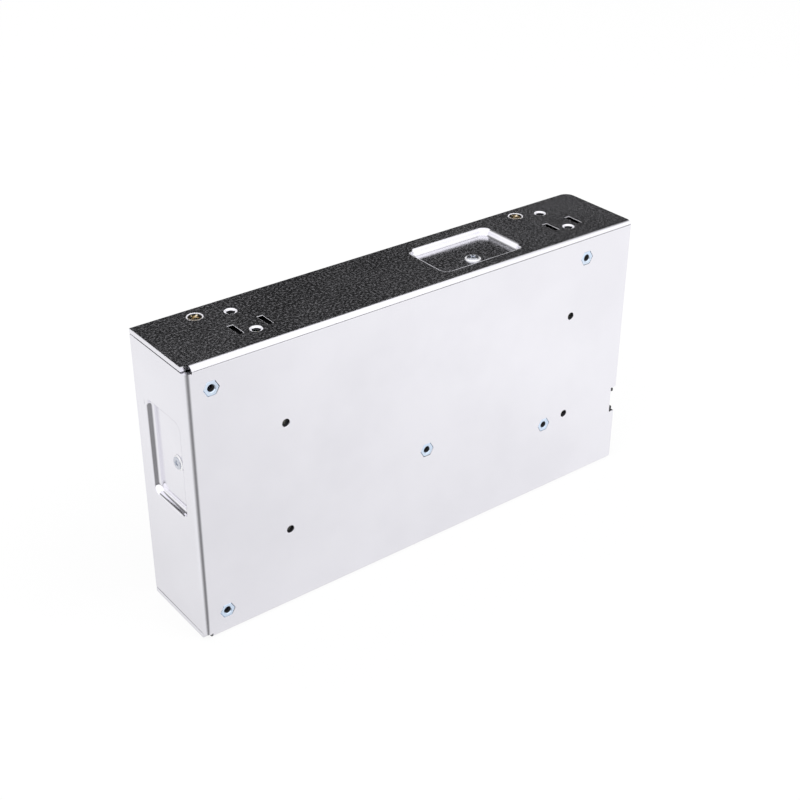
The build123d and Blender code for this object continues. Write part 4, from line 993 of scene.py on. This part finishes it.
def coverTree():
    # the tree works flat in X and Y; its result is turned to the cover's place afterwards
    pad, given = treeWith("perforatedSheet", {
        "Pitch": coverLook["pitch"] * mm, "Hole": coverLook["hole"] * mm, "Sheet": coverLook["sheet"] * mm,
        "Length": 0.18, "Width": 0.10, "Fan X": 0.0, "Fan Y": 0.0, "Fan field": coverLook["fanField"] * mm,
    })
    rise = given["Pitch"] * (sqrt(3) / 2)
    columns = (given["Length"] / given["Pitch"]).math("FLOOR")
    rows = (given["Width"] / rise).math("FLOOR")
    points = pad.add("GeometryNodePoints", {"Count": (columns + 1.0) * (rows + 1.0)})
    index = pad.add("GeometryNodeInputIndex")
    row = (index / (columns + 1.0)).math("FLOOR")
    column = index - row * (columns + 1.0)
    x = (column - columns * 0.5) * given["Pitch"] + ((row % 2.0) - 0.5) * (given["Pitch"] * 0.5)
    y = (row - rows * 0.5) * rise
    spread = pad.add("GeometryNodeSetPosition", {"Geometry": points, "Position": pad.vector(x, y, 0.0)})
    nearFan = abs(x - given["Fan X"]).most(abs(y - given["Fan Y"])) < given["Fan field"]
    outside = abs(x) > (given["Length"] * 0.5)
    kept = pad.add("GeometryNodeDeleteGeometry", {0: spread, 1: nearFan.most(outside)}, {"domain": "POINT"})
    hexagon = pad.add("GeometryNodeCurvePrimitiveCircle", {"Resolution": 6, "Radius": given["Hole"]})
    turn = pad.vector(0.0, 0.0, pi / 6)
    holes = pad.add("GeometryNodeInstanceOnPoints", {"Points": kept, "Instance": hexagon, "Rotation": turn})
    outline = pad.add("GeometryNodeMeshToCurve", {0: given["Geometry"]})
    loops = pad.join(pad.add("GeometryNodeRealizeInstances", {0: holes}), outline)
    face = pad.add("GeometryNodeFillCurve", {0: loops})
    raised = pad.add("GeometryNodeExtrudeMesh", {
        "Mesh": face, "Offset": pad.vector(0.0, 0.0, 1.0), "Offset Scale": given["Sheet"],
        "Individual": False,
    })
    under = pad.add("GeometryNodeFlipFaces", {0: face})
    closed = pad.add("GeometryNodeMergeByDistance", {0: pad.join(raised, under), 2: 0.001 * mm})
    return treeEnd(pad, closed, given["Finish"])


def coverSheet():
    # flat plane: x along the case, y down, so that the sheet grows towards the cover side
    look = coverLook
    middleX, middleZ = (look["left"] + look["right"]) / 2, (look["low"] + look["high"]) / 2
    high = (look["high"] - look["low"]) / 2 - look["bend"]
    long = (look["right"] - look["left"]) / 2
    fanX, fanY = look["fan"][0] - middleX, middleZ - look["fan"][1]
    loops = [[(-long, -high), (long, -high), (long, high), (-long, high)]]
    for inner in look["rings"]:
        loops += arcSlots((fanX, fanY), inner, inner + look["slot"], look["strut"])
    shift = look["screwShift"]
    for sideX, sideY in ((-1, -1), (-1, 1), (1, -1), (1, 1)):
        loops.append(circle(look["screwHole"], 20, (fanX + sideX * shift, fanY + sideY * shift)))
    mesh = bpy.data.meshes.new("coverSheet")
    points, edges = [], []
    for loop in loops:
        first = len(points)
        points += [(x * mm, y * mm, 0.0) for x, y in loop]
        edges += [(first + i, first + (i + 1) % len(loop)) for i in range(len(loop))]
    mesh.from_pydata(points, edges, [])
    sheet = grown("coverSheet", coverTree(), mesh, "cover_steel", {
        "Length": 2 * (long - look["margin"]) * mm, "Width": 2 * (high - look["margin"] + 1.0) * mm,
        "Fan X": fanX * mm, "Fan Y": fanY * mm,
    })
    place = Matrix.Translation((middleX * mm, level(coverFace - look["sheet"]), middleZ * mm))
    sheet.data.transform(place @ Matrix.Rotation(-pi / 2, 4, "X"))
    return sheet


def lipStrip(edge, way):
    # folded edge of the cover: outer bend, lip and back up the inside; way is +1 at the top edge
    look = coverLook
    outer, inner = look["bend"], look["bend"] - look["sheet"]
    section = []
    for radius, order in ((outer, range(7)), (inner, range(6, -1, -1))):
        for i in order:
            angle = pi / 2 * i / 6
            z = edge + way * (radius * sin(angle) - outer)
            section.append((z, coverFace - outer + radius * cos(angle)))
        if radius == outer:
            section += [(z, coverFace - look["lip"]) for z in (edge, edge - way * look["sheet"])]
    rings = [[(x, height, z) for z, height in section] for x in (look["left"], look["right"])]
    strip = skin("lip", rings, "capped", 30.0)
    strip.data.transform(Matrix.Translation((0, level(0), 0)))
    return strip


def joined(name, *pieces):
    work = bmesh.new()
    for piece in pieces:
        work.from_mesh(piece.data)
        bpy.data.objects.remove(piece)
    return addObject(name, meshFrom(name, work, 30.0))


def lugPiece(x, height, edge, way):
    # lug with rounded corners and a hole for the countersunk screw
    corner, half = lugLook["corner"], lugLook["width"] / 2
    low, high = coverFace - lugLook["reach"], coverFace - coverLook["bend"] - 0.01
    outline = [(-half, high), (half, high)]
    for side in (1, -1):
        for i in range(5):
            angle = pi / 2 * (i if side > 0 else 4 - i) / 4
            outline.append((side * (half - corner + corner * cos(angle)), low + corner - corner * sin(angle)))
    work = bmesh.new()
    for loop in (outline, circle(lugLook["hole"], 16, (0, height))):
        verts = [work.verts.new(((x + across) * mm, level(up), edge * mm)) for across, up in loop]
        for i, vert in enumerate(verts):
            work.edges.new((vert, verts[(i + 1) % len(verts)]))
    bmesh.ops.triangle_fill(work, use_beauty=True, use_dissolve=False, edges=work.edges)
    lifted = bmesh.ops.extrude_face_region(work, geom=work.faces[:])
    moved = [item for item in lifted["geom"] if isinstance(item, bmesh.types.BMVert)]
    bmesh.ops.translate(work, verts=moved, vec=(0, 0, -way * coverLook["sheet"] * mm))
    bmesh.ops.recalc_face_normals(work, faces=work.faces)
    return addObject("lug", meshFrom("lug", work))


coverParts = [coverSheet()]
for way, edge in ((1, coverLook["high"]), (-1, coverLook["low"])):
    coverParts.append(lipStrip(edge, way))
    coverParts += [lugPiece(x, height, edge, way) for x, height in sunkScrews]
cover = carry(joined("perforatedCover", *coverParts), "case", "cover_steel", ["mesh_cover"])

fanScrewLook = {
    "head": 2.65, "height": 0.0, "shank": 1.45, "length": 9.0, "cross": (1.7, 0.6, 1.1), "loose": (0.7, 5),
}
fanX, fanZ = coverLook["fan"]
shift = coverLook["screwShift"]
fanScrewPlaces = [(fanX + x, fanZ + z) for x in (-shift, shift) for z in (-shift, shift)]
screws("fanScrews", "fan_screws", fanScrewLook, onBoard(fanScrewPlaces, coverFace - 0.02))
print("cover:", len(cover.data.polygons), "faces")


# Fan

soften("fan_housing", 0.35, 2, 30.0)
soften("fan_stator", 0.2)
rotorLook = {
    "hub": 11.4, "tip": 22.1, "blades": 7, "chordRoot": 11.0, "chordTip": 14.6, "pitchRoot": 57.0,
    "pitchTip": 47.0, "camber": 1.5, "sheet": 0.9, "middle": 33.1, "low": 27.9, "high": 38.4, "sweep": 14.0,
}


def bladeTree():
    # one curved sheet per blade, turned round the hub; a modifier gives it its thickness
    look = rotorLook
    pad, given = treeWith("fanBlades", {
        "Blades": look["blades"], "Hub": (look["hub"] - 1.0) * mm, "Tip": look["tip"] * mm,
        "Chord root": look["chordRoot"] * mm, "Chord tip": look["chordTip"] * mm,
        "Pitch root": radians(look["pitchRoot"]), "Pitch tip": radians(look["pitchTip"]),
        "Camber": look["camber"] * mm, "Sweep": radians(look["sweep"]),
    })
    sheet = pad.add("GeometryNodeMeshGrid", {"Size X": 2.0, "Size Y": 1.0, "Vertices X": 13, "Vertices Y": 9})
    along, out = pad.split(pad.add("GeometryNodeInputPosition"))[:2]
    span = out + 0.5
    tipRound = 1.0 - span ** 6.0 * abs(along) ** 3.0 * 0.16
    radius = given["Hub"] + span * (given["Tip"] - given["Hub"]) * tipRound
    chord = given["Chord root"] + span * (given["Chord tip"] - given["Chord root"])
    pitch = given["Pitch root"] + span * (given["Pitch tip"] - given["Pitch root"])
    sine, cosine = pitch.math("SINE"), pitch.math("COSINE")
    arch = (1.0 - along * along) * given["Camber"]
    reach = along * chord * 0.5
    turn = (reach * sine + arch * cosine) / radius + span * span * given["Sweep"]
    place = pad.vector(radius * turn.math("COSINE"), radius * turn.math("SINE"), reach * cosine - arch * sine)
    shaped = pad.add("GeometryNodeSetPosition", {"Geometry": sheet, "Position": place})
    ring = pad.add("GeometryNodePoints", {"Count": given["Blades"]})
    spin = pad.vector(0.0, 0.0, pad.add("GeometryNodeInputIndex") * (tau / look["blades"]))
    placed = pad.add("GeometryNodeInstanceOnPoints", {"Points": ring, "Instance": shaped, "Rotation": spin})
    return treeEnd(pad, placed, given["Finish"])


def fanRotor():
    look = rotorLook
    blades = grown("blades", bladeTree(), bpy.data.meshes.new("blades"), "black_plastic", {})
    blades.data.shade_smooth()
    thick = blades.modifiers.new("thick", "SOLIDIFY")
    thick.thickness = look["sheet"] * mm
    thick.offset = 0.0
    rounding = blades.modifiers.new("rounding", "BEVEL")
    rounding.width = 0.25 * mm
    rounding.segments = 2
    settle(blades)
    axisZero = -level(0) / mm
    low, high, hub = look["low"] - axisZero, look["high"] - axisZero, look["hub"]
    blades.data.transform(Matrix.Translation((0, 0, (look["middle"] - axisZero) * mm)))
    hubProfile = [
        (0, high - 0.35), (2.2, high - 0.35), (2.6, high - 0.6), (hub - 2.2, high - 0.6), (hub - 1.6, high),
        (hub - 0.7, high - 0.08), (hub - 0.2, high - 0.35), (hub, high - 0.9), (hub, low), (hub - 1.4, low),
        (hub - 1.4, high - 2.0), (2.0, high - 2.0), (2.0, low + 7.0), (0, low + 7.0),
    ]
    rotor = joined("fanRotor", blades, turned("hub", hubProfile, 48, sharp=30.0))
    rotor.data.transform(Matrix.Translation((fanX * mm, 0, fanZ * mm)) @ Matrix.Rotation(-pi / 2, 4, "X"))
    return carry(rotor, "fan", "black_plastic", ["fan_rotor"])


print("fan:", len(fanRotor().data.polygons), "faces")


# Terminal end

blockLook = {"pitch": 9.5, "ways": 9, "middleZ": 49.05, "screwX": 99.2, "seat": 19.0}
squareLook = {"half": 3.65, "sheet": 0.8, "hole": 1.8, "steps": 24}
terminalScrewLook = {
    "head": 3.2, "height": 2.1, "shank": 1.62, "length": 1.75, "pitch": 0.6,
    "cross": (2.0, 0.8, 1.2), "loose": (0.7, 21),
}


def squareWasher():
    half, sheet, steps = squareLook["half"], squareLook["sheet"], squareLook["steps"]
    angles = [tau * (i + 0.5) / steps for i in range(steps)]
    rings = []
    for height, inset in ((0.05, 0.12), (0.2, 0.0), (0.65, 0.0), (sheet, 0.15)):
        ring = []
        for angle in angles:
            reach = min((half - inset) / max(abs(cos(angle)), abs(sin(angle))), half * 1.32)
            ring.append((reach * cos(angle), reach * sin(angle), height))
        rings.append(ring)
    hole = squareLook["hole"]
    for height in (sheet, 0.05):
        rings.append([(hole * cos(angle), hole * sin(angle), height) for angle in angles])
    return skin("squareWasher", rings, "loop")


for nodeName, width in {"terminal_block": 0.3, "terminal_plates": 0.2, "terminal_guard": 0.25}.items():
    soften(nodeName, width)
middleWay = (blockLook["ways"] - 1) / 2
wayPlaces = [
    (blockLook["screwX"], blockLook["middleZ"] + (way - middleWay) * blockLook["pitch"])
    for way in range(blockLook["ways"])
]
scatter("terminalWashers", squareWasher(), onBoard(wayPlaces, blockLook["seat"]), "nickel_plate")
terminalSpots = onBoard(wayPlaces, blockLook["seat"] + squareLook["sheet"])
screws("terminalScrews", "terminal_screws", terminalScrewLook, terminalSpots, "nickel_plate")
for nodeName, width in {
    "voltage_trimmer": 0.25, "trimmer_rotor": 0.15, "selector_switch": 0.2, "selector_slider": 0.2,
}.items():
    soften(nodeName, width)

lampLook = {"place": (104.5, 116.06), "radius": 1.85, "spacer": 12.0}
wide, tall = lampLook["radius"], lampLook["spacer"]
spacerProfile = [(0, 0.0), (wide, 0.0), (wide, tall - 0.2), (wide - 0.15, tall), (0, tall)]
turnedParts("lampSpacer", spacerProfile, onBoard([lampLook["place"]]), "black_plastic", ["lamp_spacer"])
lensProfile = [
    (0, 0.0), (wide, 0.0), (wide, 0.7), (1.5, 0.8), (1.5, 3.5), (1.42, 4.0), (1.2, 4.5), (0.8, 4.85),
    (0.35, 4.98), (0, 5.0),
]
lensPlaces = onBoard([lampLook["place"]], boardTop + tall)
turnedParts("statusLamp", lensProfile, lensPlaces, "green_lens", ["status_lamp"])
print("terminal end made")


# Board and what stands on it

for nodeName, width in {
    "circuit_board": 0.1, "insulating_film": 0.08, "power_transistors": 0.3, "output_rectifiers": 0.3,
    "thermal_pads": 0.1, "clamp_bars": 0.3, "transformer_core": 0.6, "transformer_bobbin": 0.25,
    "transformer_winding": 0.6, "film_capacitors": 0.7, "bridge_heatsink": 0.25, "bridge_rectifier": 0.4,
    "standby_transformer": 0.8, "control_board": 0.08, "control_chips": 0.25, "output_busbars": 0.15,
    "fan_header": 0.2, "fan_plug": 0.2, "fuse_clips": 0.15,
}.items():
    soften(nodeName, width)

boardScrewLook = {
    "head": 2.65, "height": 1.75, "shank": 1.22, "length": 5.0, "cross": (1.45, 0.6, 1.1), "loose": (0.7, 9),
}
screws("boardScrews", "board_screws", boardScrewLook, onBoard(standoffPlaces))


def canSleeve(radius, height):
    # shrunk sleeve: rounded foot, crimp groove and an edge rolled over the top
    return [
        (0, 0.1), (radius * 0.93, 0.1), (radius * 0.985, 0.5), (radius, 1.1), (radius, 2.2),
        (radius * 0.965, 2.7), (radius * 0.965, 3.1), (radius, 3.6), (radius, height - 0.9),
        (radius * 0.985, height - 0.3), (radius * 0.94, height), (radius * 0.85, height - 0.02),
        (radius * 0.84, height - 0.25), (0, height - 0.25),
    ]


def canTop(name, radius, height):
    # aluminium top with its cross shaped vent
    face, under = height - 0.12, height - 0.3
    profile = [
        (0, face), (radius * 0.5, face), (radius * 0.83, height - 0.1), (radius * 0.835, under), (0, under),
    ]
    return cutCross(turned(name, profile, 32), radius * 0.6, 0.5, 0.12, height - 0.06)


def cans(name, nodeName, middle, shifts, radius, height):
    # shifts: (x, z) of each can from the middle of its group
    places = onBoard([(middle[0] + x, middle[1] + z) for x, z in shifts])
    turnedParts(name, canSleeve(radius, height), places, "sleeve_black", [nodeName], 32)
    top = canTop(name + "Top", radius, height)
    scatter(name + "Tops", top, places, "heatsink_aluminium", finish="canTopMetal", looseTurn=0.8, seed=4)


bulkHeight = (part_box("bulk_capacitors")[1].y - level(boardTop)) / mm
cans("bulkCans", "bulk_capacitors", (8.35, 24.0), [(-14, 0), (14, 0)], 12.9, bulkHeight)
outputShifts = [(x, z) for x in (-6, 6) for z in (-12, 0, 12)]
cans("outputCans", "output_capacitors", (65.86, 93.0), outputShifts, 4.95, 20.0)
cans("smallCans", "small_capacitors", (1.29, 96.0), [(0, -9.45), (0, 0), (0, 9.45)], 3.12, 11.0)


def woundTree():
    # wire that runs round the section of a ring core while it moves along the ring
    pad, given = treeWith("woundRing", {
        "Outer": 0.016, "Inner": 0.009, "Thick": 0.011, "Wire": 0.0016, "Gap": 0.004, "Turns": 12.0,
    })
    steps, squareness = 16.0, 1.32
    total = given["Turns"] * steps
    line = pad.add("GeometryNodeMeshLine", {"Count": total + 1.0})
    index = pad.add("GeometryNodeInputIndex")
    phase = index * (tau / steps)
    middle = (given["Outer"] + given["Inner"]) * 0.5
    halfWide = (given["Outer"] - given["Inner"]) * 0.5 + given["Wire"] * 0.5
    halfHigh = given["Thick"] * 0.5 + given["Wire"] * 0.5
    out, up = (
        (phase.math(curve) * squareness).most(-1.0).math("MINIMUM", 1.0) for curve in ("COSINE", "SINE")
    )
    radius = middle + out * halfWide
    inset = (given["Gap"] * 0.5 + given["Wire"] * 0.5) / (given["Inner"] - given["Wire"] * 0.5)
    angle = (index / total - 0.5) * (pi - 2.0 * inset.math("ARCSINE"))
    place = pad.vector(radius * angle.math("COSINE"), radius * angle.math("SINE"), up * halfHigh)
    bent = pad.add("GeometryNodeSetPosition", {"Geometry": line, "Position": place})
    path = pad.add("GeometryNodeMeshToCurve", {0: bent})
    section = pad.add("GeometryNodeCurvePrimitiveCircle", {"Resolution": 8, "Radius": given["Wire"] * 0.49})
    wire = pad.add("GeometryNodeCurveToMesh", {"Curve": path, "Profile Curve": section, "Fill Caps": True})
    smooth = pad.add("GeometryNodeSetShadeSmooth", {0: wire})
    other = pad.add("GeometryNodeTransform", {0: smooth, "Rotation": (0.0, 0.0, pi)})
    return treeEnd(pad, pad.join(smooth, other), given["Finish"])


wound = woundTree()
chokes = {
    "outputChoke": {
        "core": "output_choke_core", "winding": "output_choke_winding", "place": (fanX, fanZ), "height": 9.2,
        "outer": 16.0, "inner": 9.0, "thick": 11.0, "wire": 1.6, "gap": 4.0, "turns": 12.0,
    },
    "filterChoke": {
        "core": "filter_core", "winding": "filter_windings", "place": (51.53, 32.0), "height": 10.8,
        "outer": 10.0, "inner": 5.8, "thick": 9.0, "wire": 1.2, "gap": 5.0, "turns": 9.0,
    },
}


def choke(name, look):
    # ring core with rounded edges, and its two windings
    outer, inner, thick = look["outer"], look["inner"], look["thick"]
    x, z = look["place"]
    edge = 0.6
    profile = [
        (inner, edge), (inner + edge, 0), (outer - edge, 0), (outer, edge), (outer, thick - edge),
        (outer - edge, thick), (inner + edge, thick), (inner, thick - edge),
    ]
    places = onBoard([(x, z)], look["height"])
    turnedParts(name + "Core", profile, places, "ferrite", [look["core"]], 48, "loop", 30.0)
    values = {key.title(): look[key] * mm for key in ("outer", "inner", "thick", "wire", "gap")}
    values["Turns"] = look["turns"]
    piece = grown(name + "Wire", wound, bpy.data.meshes.new(name), "copper", values)
    middle = Vector((x * mm, level(look["height"] + thick / 2), z * mm))
    piece.data.transform(Matrix.Translation(middle) @ Matrix.Rotation(-pi / 2, 4, "X"))
    carry(piece, "case", "copper", [look["winding"]])


for name, look in chokes.items():
    choke(name, look)
baseProfile = [(0, 0), (12.2, 0), (12.3, 0.3), (12.3, 1.7), (12.0, 2.0), (0, 2.0)]
basePlaces = onBoard([chokes["filterChoke"]["place"]])
turnedParts("filterChokeBase", baseProfile, basePlaces, "black_plastic", ["filter_base"], 40)
print("wound parts made")

# leaded parts that stand or lie on the board; their places are in millimetres
leadedLook = {
    "discX": (63.24, 71.31), "discHeight": 13.6, "discZ": 68.0, "coil": (-10.42, 16.6, 50.0),
    "resistorHalf": 7.0, "resistorHeight": 10.1, "fuse": (60.82, 12.6, 54.0), "fuseCaps": 4.5,
}
discHeight, discZ = level(leadedLook["discHeight"]), leadedLook["discZ"]
discPlaces = [((x * mm, discHeight, discZ * mm), "right") for x in leadedLook["discX"]]
discProfile = evenProfile([(0, 1.7), (1.6, 1.65), (3.0, 1.3), (3.8, 0.7)], (4.0, 0))
turnedParts("discCapacitors", discProfile, discPlaces, "blue_plastic", ["disc_capacitors"])
coilX, coilHeight, coilZ = leadedLook["coil"]
coilPlaces = [((coilX * mm, level(coilHeight), coilZ * mm), "up")]
coilProfile = evenProfile([(0, 2.2), (3.5, 2.1), (5.3, 1.6), (5.95, 0.8)], (6.0, 0))
turnedParts("inrushThermistor", coilProfile, coilPlaces, "dark_green_coating", ["inrush_thermistor"], 32)

resistorProfile = evenProfile([(0, 7), (1.9, 7), (2.3, 6.7), (2.45, 6.2), (2.45, 4.6), (2.15, 4.0)])
resistorLow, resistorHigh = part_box("power_resistors")
resistorZ = (resistorLow.z + resistorHigh.z) / 2
resistorHalf, resistorHeight = leadedLook["resistorHalf"] * mm, level(leadedLook["resistorHeight"])
resistorEnds = (resistorLow.x + resistorHalf, resistorHigh.x - resistorHalf)
resistorPlaces = [((x, resistorHeight, resistorZ), "right") for x in resistorEnds]
turnedParts("powerResistors", resistorProfile, resistorPlaces, "resistor_grey", ["power_resistors"])

fuseX, fuseHeight, fuseZ = leadedLook["fuse"]
capShift = leadedLook["fuseCaps"]
fuseSpots = ((fuseX, "right"), (fuseX + capShift, "right"), (fuseX - capShift, "left"))
glassPlace, *capPlaces = [((x * mm, level(fuseHeight), fuseZ * mm), way) for x, way in fuseSpots]
glassProfile = [(1.7, -9), (2.3, -9), (2.3, 9), (1.7, 9)]
turnedParts("fuseTube", glassProfile, [glassPlace], "fuse_glass", ["fuse_tube"], 24, "loop")
capProfile = [(2.32, 0.1), (2.58, 0.0), (2.6, 0.3), (2.6, 5.2), (2.45, 5.5), (0, 5.5), (0, 4.6), (2.32, 4.6)]
turnedParts("fuseCaps", capProfile, capPlaces, "nickel_plate", ["fuse_caps"])

leadPlaces = [(x, discZ + z) for x in leadedLook["discX"] for z in (-2.5, 2.5)]
leadPlaces += [(coilX + x, coilZ) for x in (-3.75, 3.75)]
leadProfile = [(0, -0.4), (0.3, -0.4), (0.3, 4.9), (0, 4.9)]
turnedParts("partLeads", leadProfile, onBoard(leadPlaces), "zinc_steel", steps=10)
print("board parts made")
